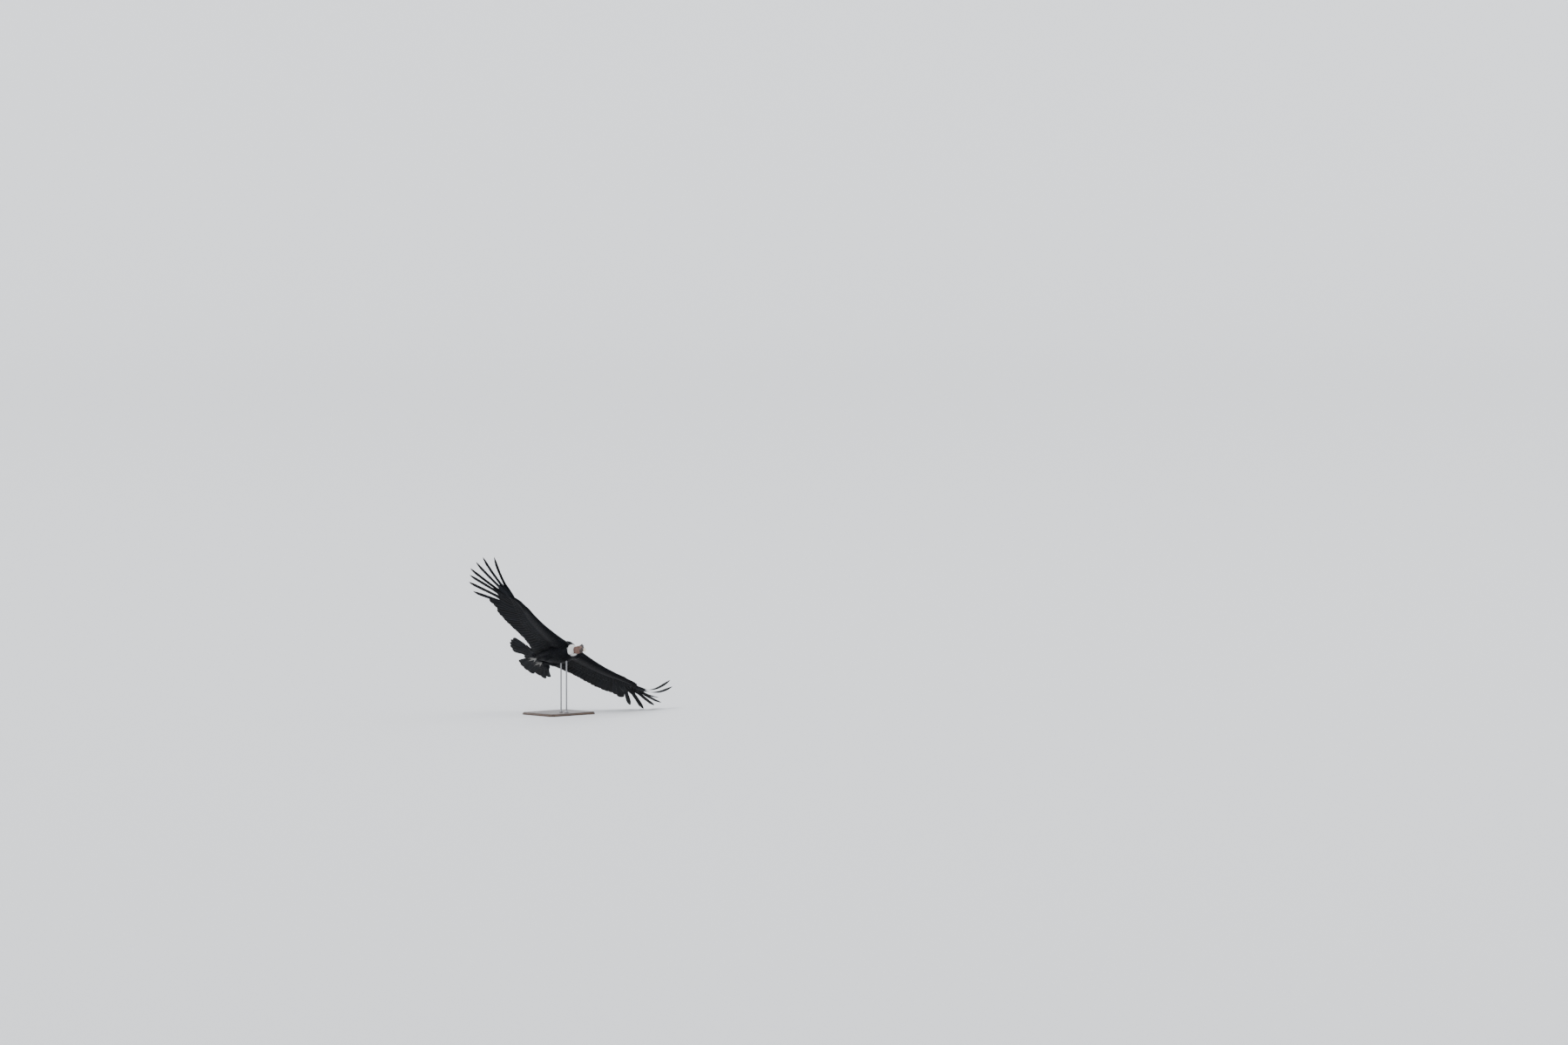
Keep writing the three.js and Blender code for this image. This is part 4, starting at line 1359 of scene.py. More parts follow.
def closed_outwards(points: Array, faces: Array) -> Array:
    """The faces of closed shapes, turned round where they enclose a negative volume."""
    a, b, c = (points[faces[:, i]] for i in range(3))
    volume = np.einsum("ij,ij->", a, np.cross(b, c))
    quads = faces[faces[:, 3] >= 0] if faces.shape[1] == 4 else faces[:0]
    if len(quads):
        a, b, c = (points[quads[:, i]] for i in (0, 2, 3))
        volume += np.einsum("ij,ij->", a, np.cross(b, c))
    if volume >= 0:
        return faces
    turned = faces.copy()
    turned[:, :3] = faces[:, 2::-1]
    full = faces[:, 3] >= 0 if faces.shape[1] == 4 else np.zeros(len(faces), bool)
    turned[full] = faces[full][:, ::-1]
    return turned


class GeometryTree:
    """A Geometry Nodes tree with named inputs, and one method for every node."""

    def __init__(self, name: str) -> None:
        """Starts a tree that takes and gives geometry."""
        self.tree = bpy.data.node_groups.new(name, "GeometryNodeTree")
        self.tree.interface.new_socket("Geometry", in_out="INPUT", socket_type="NodeSocketGeometry")
        self.tree.interface.new_socket("Geometry", in_out="OUTPUT", socket_type="NodeSocketGeometry")
        self.source = self.tree.nodes.new("NodeGroupInput")
        self.identifiers: dict[str, str] = {}

    def input(self, name: str, kind: str) -> Socket:
        """Adds a named input of a socket type and returns its socket."""
        made = self.tree.interface.new_socket(name, in_out="INPUT", socket_type=kind)
        self.identifiers[name] = made.identifier
        return self.source.outputs[name]

    def node(self, kind: str, settings: Settings | None = None, inputs: Inputs | None = None) -> Node:
        """Adds one node, with its settings first and then its sockets' values or links."""
        return add_node(self.tree, kind, settings, inputs)

    def finish(self, geometry: Socket, finish: Socket) -> None:
        """Ends the tree by realizing its instances and setting their finish."""
        real = self.node("GeometryNodeRealizeInstances", None, {"Geometry": geometry})
        inputs = {"Geometry": real.outputs[0], "Material": finish}
        dressed = self.node("GeometryNodeSetMaterial", None, inputs)
        self.node("NodeGroupOutput", None, {"Geometry": dressed.outputs[0]})

    def run(self, carrier: bpy.types.Object, name: str, values: dict[str, object]) -> bpy.types.Object:
        """Runs the tree on a carrier and turns the result into a plain mesh.

        Args:
            carrier: The object whose mesh the tree reads; it is removed afterwards.
            name: Name of the result.
            values: Values of the named inputs.

        Returns:
            The new object.
        """
        modifier = carrier.modifiers.new("grow", "NODES")
        modifier.node_group = self.tree
        for key, value in values.items():
            modifier[self.identifiers[key]] = value
        made = settled(carrier, name)
        bpy.data.objects.remove(carrier)
        return made


@dataclass(frozen=True)
class HeadFrame:
    """The head's own frame in units of its size, with its origin between the eyes."""

    at: tuple[float, float, float] = (0.0, 267.0, -5.0)
    size: float = 1.14
    pitch: float = math.radians(4)

    def to_bird(self, points: Array) -> Array:
        """Points given as left, forward and up in the head's frame, in the bird's frame."""
        turn = np.array(Matrix.Rotation(self.pitch, 3, "X"))
        return (points * [1, -1, 1] * self.size) @ turn.T + place_from(*self.at)

    def from_bird(self, points: Array) -> Array:
        """The same the other way."""
        turn = np.array(Matrix.Rotation(self.pitch, 3, "X"))
        return ((points - place_from(*self.at)) @ turn) / self.size * [1, -1, 1]


HEAD = HeadFrame()
# Height of the gape in the head's frame.
MOUTH = -7.5


def roughness_of(points: Array, scale: float, seed: float) -> Array:
    """Smooth noise from -1 to 1 at points, of cells of that many millimetres."""
    return np.array([noise.noise(Vector((p + seed) / scale)) for p in points])


@dataclass
class Flesh:
    """One closed length of flesh with what its skin shows at each point."""

    points: Array
    faces: Array
    # fold: share of painted shade in the creases and grooves
    fold: Array | float = 0.0
    head: Array | float = 0.0
    foot: Array | float = 0.0
    downy: Array | float = 0.0
    cere: Array | float = 0.0

    @classmethod
    def tube(cls, rings: Array, **shown: Array | float) -> Flesh:
        """The flesh in a tube of rings, closed at its ends."""
        return cls(capped(rings), tube_faces(*rings.shape[:2]), **shown)

    def zones(self) -> dict[str, Array]:
        """What shows at each point, by attribute name."""
        names = ("fold", "head", "foot", "downy", "cere")
        return {name: np.broadcast_to(getattr(self, name), len(self.points)) for name in names}


@dataclass
class HeadAndNeck:
    """The bare head and neck: skull, lids, cheeks, ear, mouth, wattle and rings of loose skin."""

    around: int = 168
    eye: tuple[float, float] = (8.0, 9.0)
    neck: Rows = ((104, 8, 38, 42), (140, 6, 37, 41), (175, 3, 34, 40))
    skull: Rows = (
        (-42, 3, 26, 33), (-22, 4, 30, 37), (-4, 4, 29.5, 36), (14, 2, 26, 32), (28, 1, 20.5, 26),
        (40, 0, 15.5, 20), (52, 0, 12.4, 15.8), (62, 0.8, 10.0, 12.7),
    )  # fmt: skip

    def rings(self) -> Array:
        """The plain rings from the base of the neck to the bill."""
        rows = [(f, f, cz, rx, rz) for f, cz, rx, rz in self.neck]
        for f, cz, rx, rz in self.skull:
            _, y, z = HEAD.to_bird(np.array([0.0, f, cz]))
            rows.append((-y, -y, z, rx * HEAD.size, rz * HEAD.size))
        path = Profile(rows)
        q = np.concatenate([np.linspace(104, 205, 74), np.linspace(206, path.at[-1], 150)])
        f, z, rx, rz = np.moveaxis(path(q), -1, 0)
        centres = np.stack([0 * f, -f, z], -1)
        return sweep(centres, np.stack([rx, rz], -1), self.around, UP, 2.12)

    def swell(self, at: Array) -> tuple[Array, Array]:
        """How far the skin stands out at points of the head's frame: cheek, ear, lips, nostril and folds.

        Args:
            at: Points as left, forward and up in the head's frame.

        Returns:
            The height of its forms, and the depth of its creases.
        """
        x, f, z = abs(at[:, 0]), at[:, 1], at[:, 2]
        side = smooth((x - 8) / 8)
        form, crease = self.about_eye(side, f, z)
        cheek = np.exp(-(((f - 26) / 12) ** 2) - ((z + 9 + 0.2 * (f - 26)) / 4.6) ** 2)
        ear = np.hypot(f + 25, z + 4)
        form = form + side * (2.8 * cheek + 1.9 * bump(ear, 6.0, 1.7) - 4.2 * smooth((4.2 - ear) / 2.2))
        lips = smooth((f - 3) / 6)
        crease = crease + 2.0 * lips * bump(z, MOUTH, 0.9)
        form = form + lips * 0.9 * (bump(z, MOUTH + 2.3, 1.3) + bump(z, MOUTH - 2.4, 1.3))
        nostril = np.exp(-(((f - 47) / 4.4) ** 2) - ((z - 4.5) / 1.9) ** 2)
        form = form - side * smooth((f - 40) / 3) * 2.4 * nostril
        chin = smooth((-z - 9) / 7) * smooth((f - 12) / 16) * smooth((57 - f) / 14)
        below = smooth((-z - 12) / 12)
        wattle = below * bump(x, 0, 8.5) * (bump(f, 0, 15) + 1.25 * bump(f, -28, 14))
        form = form + 6.5 * chin + 8.5 * wattle
        crease = crease + 0.7 * wattle * (0.5 + 0.5 * np.sin(f * 1.15 + 0.5 * x))
        back = smooth((-f - 26) / 14)
        ripple = np.sin(f * 0.78 + 1.7 * roughness_of(at, 26.0, 3.0) + 0.0025 * z * z)
        folds = roughness_of(at * [1, 1.7, 0.8], 6.5, 11.0)
        calm = 1 - 0.75 * smooth((f - 34) / 12)
        form = form + back * 1.5 * ripple + calm * (0.75 * folds + 0.3 * roughness_of(at, 2.6, 5.0))
        crease = crease + back * smooth(-ripple * 1.6) + calm * 0.8 * smooth((-folds - 0.08) * 3.2)
        return form, crease

    def about_eye(self, side: Array, f: Array, z: Array) -> tuple[Array, Array]:
        """The lids round each eye with its socket, the brow, and the folds of skin behind it."""
        rho = np.hypot((f - self.eye[0]) / 1.12, z - self.eye[1])
        form = side * 2.6 * bump(rho, 8.2, 1.7) - side * 7.0 * smooth((6.9 - rho) / 1.3)
        form = form + side * 2.4 * bump(z, 18.5, 3.4) * bump(f, self.eye[0], 13)
        crease = side * 0.9 * bump(rho, 11.0, 1.1) + side * 0.5 * bump(rho, 14.2, 1.2)
        for i in range(4):
            df, dz = f + 12 + i * 10.5, z - 21 + i * 4.6
            away = (df * 0.9 + dz * 0.35) ** 2 / 26 + (dz * 0.9 - df * 0.3) ** 2 / 80
            form = form + side * (4.2 - 0.4 * i) * np.exp(-away)
            crease = crease + side * 0.8 * bump(df, -5.2, 1.3) * bump(dz, 0, 10)
        return form, crease

    def build(self) -> Flesh:
        """The head and neck as one closed length of flesh."""
        rings = self.rings()
        centres = rings.mean(1, keepdims=True)
        flat = rings.reshape(-1, 3)
        form, crease = self.swell(HEAD.from_bird(flat))
        away = (rings - centres).reshape(-1, 3)
        away /= np.linalg.norm(away, axis=1, keepdims=True)
        points = flat + away * ((form - crease) * HEAD.size)[:, None]
        points = capped(points.reshape(rings.shape))
        deepest = 1.4
        ruffed = smooth((196 + points[:, 1]) / 8) * (1 - bump(points[:, 0], 0, 16) * (points[:, 2] < -10))
        at = HEAD.from_bird(points)
        dark = smooth((at[:, 1] - 20 - 0.3 * at[:, 2]) / 26)
        return Flesh(
            points,
            tube_faces(*rings.shape[:2]),
            # painted shade in the creases, darker the deeper they sink
            fold=np.append(np.clip(crease, 0, deepest) / deepest, [0, 0]),
            head=1 - ruffed,
            downy=ruffed,
            cere=dark,
        )


@dataclass
class Foot:
    """A bare shank with four toes in scutes, and their claws.

    The toes hold angle from straight back in degrees, length, radius and the claw's length.
    """

    side: Side
    ankle: tuple[float, float, float] = (43.0, -396.0, -53.0)
    toes: Rows = ((-28, 62, 7.4, 22), (1, 92, 8, 26), (31, 66, 7.4, 23), (242, 24, 6, 15))
    shank: Rows = (
        (-302, 43, -62.5, 6), (-335, 43, -60.5, 8.4), (-370, 43, -57, 9), (-392, 43, -54, 11.5),
        (-408, 43, -53, 10),
    )  # fmt: skip

    def path(self, angle: float, d: Array) -> Array:
        """Points along a toe at distances d from the ankle."""
        a = math.radians(angle)
        curl = 3.2 * (d / 60) ** 2 * (9 if angle > 90 else 1)
        left, forward, up = self.ankle
        x = self.side.value * (left + math.sin(a) * d)
        return np.stack([x, -(forward - math.cos(a) * d * 0.97), up - curl], -1)

    @staticmethod
    def scaled(rings: Array, length: float, pitch: float) -> tuple[Array, Array]:
        """Rings with scutes across the top and pads below.

        Args:
            rings: Rings of a tube, with the first point of each to one side.
            length: The tube's length.
            pitch: Length of a scute.

        Returns:
            The raised rings, and how much of a groove is at each point of their capped tube.
        """
        count, around = rings.shape[:2]
        d = np.linspace(0, length, count)[:, None]
        a = TAU * np.arange(around)[None] / around
        saw = (d / pitch) % 1
        groove = np.exp(-((np.minimum(saw, 1 - saw) / 0.13) ** 2))
        top = smooth(np.sin(a) * 2 + 0.5)
        pads = smooth(-np.sin(a) * 2) * (0.6 + 0.6 * np.cos(TAU * d / 15))
        height = top * (0.55 * saw - 0.75 * groove) + pads
        away = rings - rings.mean(1, keepdims=True)
        away /= np.linalg.norm(away, axis=2, keepdims=True)
        # painted shade in the grooves across the scutes' tops
        shown = np.append(top * groove * 0.8, [0, 0])
        return rings + away * height[..., None], shown

    def build(self) -> list[Flesh]:
        """The shank and the toes."""
        start, end = -self.shank[0][0], -self.shank[-1][0]
        path = Profile([(-row[0], *row) for row in self.shank])
        f, x, z, r = np.moveaxis(path(np.linspace(start, end, 60)), -1, 0)
        rings = sweep(np.stack([self.side.value * x, -f, z], -1), np.stack([r, r], -1), 28, UP)
        rings, groove = self.scaled(rings, end - start, 7.0)
        bare = smooth((capped(rings)[:, 1] - 344) / 12)
        # fold carries the painted shade of the scutes' grooves
        lengths = [Flesh.tube(rings, foot=bare, fold=groove * bare)]
        for angle, length, r, _ in self.toes:
            d = np.linspace(0, length, 54)
            t = d / length
            knuckles = 0.95 + 0.09 * np.cos(TAU * t * 2.5 + math.pi)
            radius = r * knuckles * mix(1.05, 0.8, t) * (1 - 0.32 * smooth((t - 0.88) / 0.12))
            rings = sweep(self.path(angle, d), np.stack([radius, radius * 0.92], -1), 24, UP)
            rings, groove = self.scaled(rings, length, 4.6)
            lengths.append(Flesh.tube(rings, foot=1.0, fold=groove))
        return lengths

    def claws(self, horn: Material) -> None:
        """Makes the four claws, each in the place of its node."""
        for i, (angle, length, r, reach) in enumerate(self.toes):
            s = np.linspace(0, 1, 22)
            centres = self.path(angle, length - 5 + s * (reach + 5))
            centres[:, 2] -= 9 * s**2
            radius = mix(r * 0.74, 0.4, s**1.25)
            rings = sweep(centres, np.stack([radius * 0.86, radius], -1), 20, UP)
            piece = Piece(f"claw_{self.side.word}_{i + 1}_horn")
            along = np.append(np.repeat(s, 20), [0.0, 1.0])
            piece.add_tube(rings, {"along": along})
            dress(piece.finish(), horn, [f"claw_{self.side.word}_{i + 1}"])


@dataclass
class Skin:
    """One skin over head, neck, torso, wings, thighs and feet.

    The collar holds place along the neck and radius; the tail's root place, height and both radii.
    """

    head: HeadAndNeck
    feet: Sequence[Foot]
    collar: Rows = ((120, 42), (150, 41.5), (178, 37), (194, 32))
    tail_root: Rows = (
        (385, -3, 52, 24), (430, -3, 50, 17), (480, -2, 48, 9), (530, -2, 36, 4), (544, -2, 24, 2),
    )  # fmt: skip
    replaced: tuple[str, ...] = (
        "torso", "neck", "head", "thigh_left", "thigh_right", "foot_left", "foot_right",
    )  # fmt: skip

    def lengths(self) -> list[Flesh]:
        """Every closed length of flesh, the head and neck first."""
        made = [self.head.build()]
        torso = TORSO.rings(-398, 138, 44, 56)
        made.append(Flesh.tube(torso, downy=smooth((-capped(torso)[:, 1] - 124) / 8)))
        f, r = np.array(self.collar).T[..., None]
        x, up = superellipse(40).T[:, None]
        rings = np.stack([r * x, -f + 0 * x, 10 - (f - 124) * 0.12 + r * up], -1)
        made.append(Flesh.tube(rings, downy=1.0))
        for side in Side:
            made.append(self.wing(wing_form(side)))
            made.append(Flesh.tube(thigh_form(side).rings(-322, -22, 24, 28)))
        made.append(self.rump())
        for foot in self.feet:
            made += foot.build()
        return made

    @staticmethod
    def wing(form: WingForm) -> Flesh:
        """The flesh of one wing as rings of an aerofoil."""
        share = np.concatenate([np.linspace(0, 1, 12) ** 1.6, np.linspace(1, 0, 12)[1:-1] ** 1.6])
        face = np.where(np.arange(22) < 12, 1, -1)
        u = np.linspace(44, 930, 60)[:, None]
        chord = form.chord(u)
        v = form.leading(u) - 6 - share[None] * (chord - 8)
        half = face * np.maximum(form.flesh(u, v) - 1.5, 0.8)
        rings = form.point(np.broadcast_to(u, half.shape), v, half)
        return Flesh.tube(rings)

    def rump(self) -> Flesh:
        """The flat root of the tail, rolled as the tail is."""
        f = np.linspace(386, 544, 20)[:, None]
        z, rx, rz = np.moveaxis(Profile(self.tail_root)(f), -1, 0)
        across, up = superellipse(28, 2.1).T[:, None]
        roll = TailForm().roll * smooth((f - 390) / 90)
        x, y = across * rx, up * rz
        c, s = np.cos(roll), np.sin(roll)
        rings = np.stack([x * c + y * s, f + 0 * x, z - x * s + y * c], -1)
        return Flesh.tube(rings)

    def build(self, finish: Material) -> None:
        """Joins the lengths into one skin and puts it in the place of the nodes of flesh."""
        lengths = self.lengths()
        group = bpy.data.collections.new("flesh")
        bpy.context.scene.collection.children.link(group)
        makings = []
        for i, flesh in enumerate(lengths):
            piece = Piece(f"flesh_{i}")
            piece.add(flesh.points, closed_outwards(flesh.points, flesh.faces))
            makings.append(piece.finish())
            if i:
                group.objects.link(makings[-1])
        join = makings[0].modifiers.new("join", "BOOLEAN")
        join.operation, join.operand_type = "UNION", "COLLECTION"
        join.collection, join.solver = group, "EXACT"
        skin = settled(makings[0], "skin")
        for made in makings:
            bpy.data.objects.remove(made)
        bpy.data.collections.remove(group)
        self.paint_zones(skin.data, lengths)
        dress(skin, finish, self.replaced)

    @staticmethod
    def paint_zones(mesh: bpy.types.Mesh, lengths: Sequence[Flesh]) -> None:
        """Keeps on the joined mesh what the skin shows, from the nearest point of its lengths."""
        sources = STANCE.to_world(np.vstack([f.points for f in lengths]))
        zones = [f.zones() for f in lengths]
        tree = KDTree(len(sources))
        for i, p in enumerate(sources):
            tree.insert(p, i)
        tree.balance()
        nearest = [tree.find(v.co)[1] for v in mesh.vertices]
        for name in zones[0]:
            values = np.concatenate([z[name] for z in zones])
            layer = mesh.attributes.new(name, "FLOAT", "POINT")
            layer.data.foreach_set("value", values[nearest].astype(np.float32))


@dataclass
class Comb:
    """The thick, lobed comb of flesh from the bill's root to the crown."""

    start: float = -24.0
    end: float = 53.0
    around: int = 56
    rings: int = 84

    def build(self, finish: Material) -> None:
        """Makes the comb in the place of its node."""
        t = np.linspace(0, 1, self.rings)
        f = mix(self.start, self.end, t)
        base = mix(34, 10, smooth(t)) - 7
        arch = np.sin(math.pi * np.clip(0.1 + t * 0.86, 0, 1))
        high = 9 + 33 * arch**0.8 + 2.2 * np.cos(t * 19)
        thick = 2.6 + 5 * np.sin(math.pi * np.clip(0.08 + t * 0.86, 0, 1))
        a = TAU * np.arange(self.around) / self.around
        x = thick[:, None] * (np.sign(np.cos(a)) * np.abs(np.cos(a)) ** 0.8)[None]
        z = base[:, None] + high[:, None] / 2 * (1 + np.sin(a)[None])
        grid = np.stack([x, np.broadcast_to(f[:, None], x.shape), z], -1)
        flat = grid.reshape(-1, 3)
        lumps = roughness_of(flat, 6.5, 21.0) * 1.1 + roughness_of(flat, 2.6, 9.0) * 0.4
        away = (grid - grid.mean(1, keepdims=True)) * [3, 1, 1]
        away = away.reshape(-1, 3) / np.linalg.norm(away.reshape(-1, 3), axis=1, keepdims=True)
        rough = (flat + away * lumps[:, None]).reshape(grid.shape)
        piece = Piece("comb_flesh")
        piece.add_tube(HEAD.to_bird(rough))
        dress(piece.finish(), finish, ["comb"])


@dataclass
class Bill:
    """The hooked upper bill and the lower one in it.

    Their rows hold place forward, height, and both radii, in the head's frame.
    """

    hook: Rows = (
        (50, 1.5, 11.3, 13.6), (56, 1.5, 11, 13.3), (66, 2, 10.4, 13), (75, 0, 9.3, 12.4),
        (82.5, -4.5, 7.8, 11), (87.5, -11.5, 6, 8.4), (90, -20, 4, 5.4), (89.6, -30.5, 0.9, 1.2),
    )  # fmt: skip
    jaw: Rows = (
        (30, -16, 11.6, 9), (40, -15.5, 10, 7.6), (56, -14.5, 8.2, 6.4), (69, -13.5, 6.2, 5.0),
        (75, -12.6, 2.8, 3.0),
    )  # fmt: skip

    def build(self, horn: Material) -> None:
        """Makes both halves, each in the place of its node."""
        for name, rows, up in (("upper", self.hook, (0, 0.55, 1)), ("lower", self.jaw, (0, 0, 1))):
            path = Profile([(i, *row) for i, row in enumerate(rows)])
            f, z, rx, rz = np.moveaxis(path(np.linspace(0, len(rows) - 1, 60)), -1, 0)
            centres = np.stack([0 * f, f, z], -1)
            rings = sweep(centres, np.stack([rx, rz], -1), 40, np.array(up, float), 2.05)
            x, f, z = np.moveaxis(rings, -1, 0)
            edge = 0.7 * np.sin(f * 0.25)
            if name == "upper":
                z = np.maximum(z, MOUTH + 0.4 - 40 * smooth((f - 73) / 9.5) + edge)
            else:
                z = np.minimum(z, MOUTH - 0.35 + edge)
            piece = Piece(f"bill_{name}_horn")
            along = np.append((f.ravel() - 50) / 40, [0.0, 1.0])
            piece.add_tube(HEAD.to_bird(np.stack([x, f, z], -1)), {"along": along})
            dress(piece.finish(), horn, [f"bill_{name}"])


@dataclass
class Eye:
    """One round eye, looking outwards and a little ahead."""

    side: Side
    centre: tuple[float, float, float] = (22.4, 8.0, 9.0)
    radius: float = 8.2
    ahead: float = math.radians(14)

    def build(self, finish: Material) -> None:
        """Makes the eye in the place of its node."""
        rings, around = 40, 48
        polar = np.linspace(0.02, math.pi - 0.02, rings)
        turn = TAU * np.arange(around) / around
        swell = self.radius * (1 + 0.05 * bump(polar, 0, 0.5))
        y, z, x = np.moveaxis(turned_round(swell * np.sin(polar), swell * np.cos(polar), around), -1, 0)
        c, s = math.cos(self.ahead), math.sin(self.ahead)
        ball = (np.stack([x * c - y * s, x * s + y * c, z], -1) + self.centre) * [self.side.value, 1, 1]
        piece = Piece(f"eye_{self.side.word}_ball")
        marks = {
            "along": np.append(np.repeat(polar / math.pi, around), [0.0, 1.0]),
            "across": np.append(np.tile(turn / TAU, rings), [0.0, 0.0]),
        }
        piece.add_tube(HEAD.to_bird(ball), marks)
        dress(piece.finish(), finish, [f"eye_{self.side.word}"])


@dataclass
class Ruff:
    """The collar of white down: soft locks and fine curled barbs over its core, open at the throat.

    The core holds place along the neck and radius, in millimetres of the bird. The tufts are in metres, and
    a barb's row holds its turn, its lift and its share of the length.
    """

    core: Rows = ((122, 48), (135, 46.5), (150, 43.5), (165, 42), (180, 38.5), (198, 32.5))
    bands: tuple[tuple[str, float, float], ...] = (
        ("rear", 126, 148),
        ("middle", 148, 172),
        ("front", 172, 198),
    )
    barb_rows: Rows = ((-0.75, 0.35, 0.7), (-0.2, 0.6, 0.95), (0.3, 0.15, 1.0), (0.8, 0.45, 0.75))
    gap: float = math.radians(30)
    lock_spacing: float = 0.0042
    barb_spacing: float = 0.00175
    length: float = 0.03

    @staticmethod
    def strand(piece: Piece, centres: Array, radii: Array, around: int, blade: float) -> None:
        """Adds one tapered strand to a tuft.

        Args:
            piece: The tuft.
            centres: Path of the strand.
            radii: Half width and half height along it.
            around: Sides of the strand.
            blade: Its place across the tuft's patch of the bake map.
        """
        count = len(centres)
        along = np.append(np.repeat(np.linspace(0, 1, count), around), [0.0, 1.0])
        patch = np.stack([np.full(len(along), blade), along], -1)
        piece.add_tube(sweep(centres, radii, around, UP), {"along": along}, {"blade": patch})

    def lock(self) -> bpy.types.Object:
        """One soft flat lock along X, with its back up Z."""
        piece = Piece("lock")
        s = np.linspace(0, 1, 5)
        x, z = self.length * 0.86 * s, self.length * (0.2 * s - 0.24 * s**2)
        centres = np.stack([x, 0.002 * np.sin(3.2 * s), z], -1)
        wide = 0.0036 * np.array([0.6, 1.0, 0.9, 0.6, 0.05])
        self.strand(piece, centres, np.stack([wide, wide * 0.45], -1), 4, 0.5)
        return piece.finish(world=True)

    def barbs(self) -> bpy.types.Object:
        """Four fine curled barbs from one root, along X."""
        piece = Piece("barbs")
        s = np.linspace(0, 1, 4)
        radius = 0.00042 * np.array([1.0, 0.95, 0.65, 0.1])
        radii = np.stack([radius * 1.3, radius * 0.8], -1)
        for i, (yaw, lift, share) in enumerate(self.barb_rows):
            length = self.length * share
            x = length * s * math.cos(yaw)
            y = length * math.sin(yaw) * (1.3 * s - 0.7 * s**2) + 0.0013 * np.sin(s * 6 + i)
            z = length * (math.sin(lift) * s - 0.45 * s**2) + 0.001 * np.cos(s * 5 + 2 * i)
            self.strand(piece, np.stack([x, y, z], -1), radii, 3, i / 4)
        return piece.finish(world=True)

    def carrier(self, start: float, end: float) -> bpy.types.Object:
        """The core's surface from start to end, with its down's lie and length and the map of its roots."""
        f = np.linspace(start, end, 10)[:, None]
        r = Profile(self.core).one(f)
        a = np.linspace(self.gap / 2, TAU - self.gap / 2, 72)[None]
        x, up = r * np.sin(a), -r * np.cos(a)
        points = np.stack([x, -f + 0 * x, 10 - (f - 124) * 0.12 + up], -1).reshape(-1, 3)
        piece = Piece("ruff_bed")
        size = mix(0.72, 1.0, smooth((f - 126) / 26)) + 0 * x
        piece.add(points, grid_faces(10, 72), {"size": size.ravel()})
        bed = piece.finish()
        out = np.stack([x / r, 0 * x, up / r], -1).reshape(-1, 3)
        lie = out * (mix(0.85, 0.45, smooth((f - 126) / 50)) + 0 * x).reshape(-1, 1) + [0, 1, 0]
        root = np.stack([0 * f + a / TAU, (f - 118) / 84 + 0 * a, 0 * x], -1)
        for name, values in (("lie", lie @ STANCE.turn.T), ("outward", out @ STANCE.turn.T), ("root", root)):
            layer = bed.data.attributes.new(name, "FLOAT_VECTOR", "POINT")
            layer.data.foreach_set("vector", values.astype(np.float32).ravel())
        return bed

    @staticmethod
    def vector(g: GeometryTree, name: str) -> Socket:
        """A vector kept on the mesh."""
        settings = {"data_type": "FLOAT_VECTOR"}
        return g.node("GeometryNodeInputNamedAttribute", settings, {"Name": name}).outputs[0]

    def scatter(self, g: GeometryTree, word: str, sway: float, seed: Socket) -> Socket:
        """One kind of tuft on scattered points of the bed, turned to the lie.

        Args:
            g: The tree.
            word: The kind's name, which its inputs begin with.
            sway: How far the tufts turn from the lie.
            seed: The seed's socket.

        Returns:
            The instances.
        """
        tuft = g.input(f"{word} Shape", "NodeSocketObject")
        shape = g.node("GeometryNodeObjectInfo", None, {"Object": tuft})
        spread = {
            "Mesh": g.source.outputs["Geometry"],
            "Distance Min": g.input(f"{word} Spacing", "NodeSocketFloat"),
            "Density Max": 600000.0,
            "Seed": seed,
        }
        points = g.node("GeometryNodeDistributePointsOnFaces", {"distribute_method": "POISSON"}, spread)
        facing = g.node(
            "FunctionNodeAxesToRotation",
            {"primary_axis": "X", "secondary_axis": "Z"},
            {"Primary Axis": self.vector(g, "lie"), "Secondary Axis": self.vector(g, "outward")},
        )
        limits = {"Min": (-sway, -sway * 0.7, -sway), "Max": (sway, sway * 0.7, sway), "Seed": seed}
        turn = g.node("FunctionNodeRandomValue", {"data_type": "FLOAT_VECTOR"}, limits)
        swayed = g.node(
            "FunctionNodeRotateRotation",
            {"rotation_space": "LOCAL"},
            {"Rotation": facing.outputs[0], "Rotate By": turn.outputs[0]},
        )
        size = g.node("GeometryNodeInputNamedAttribute", {"data_type": "FLOAT"}, {"Name": "size"})
        vary = g.node("FunctionNodeRandomValue", None, {2: 0.7, 3: 1.1, "Seed": seed})
        sized = g.node("ShaderNodeMath", {"operation": "MULTIPLY"}, {0: size.outputs[0], 1: vary.outputs[1]})
        tone = g.node("FunctionNodeRandomValue", None, {2: 0.0, 3: 1.0, "Seed": seed})
        toned = g.node(
            "GeometryNodeStoreNamedAttribute",
            {"data_type": "FLOAT", "domain": "POINT"},
            {"Geometry": points.outputs[0], "Name": "tone", "Value": tone.outputs[1]},
        )
        placed = {
            "Points": toned.outputs[0],
            "Instance": shape.outputs["Geometry"],
            "Rotation": swayed.outputs[0],
            "Scale": sized.outputs[0],
        }
        return g.node("GeometryNodeInstanceOnPoints", None, placed).outputs[0]

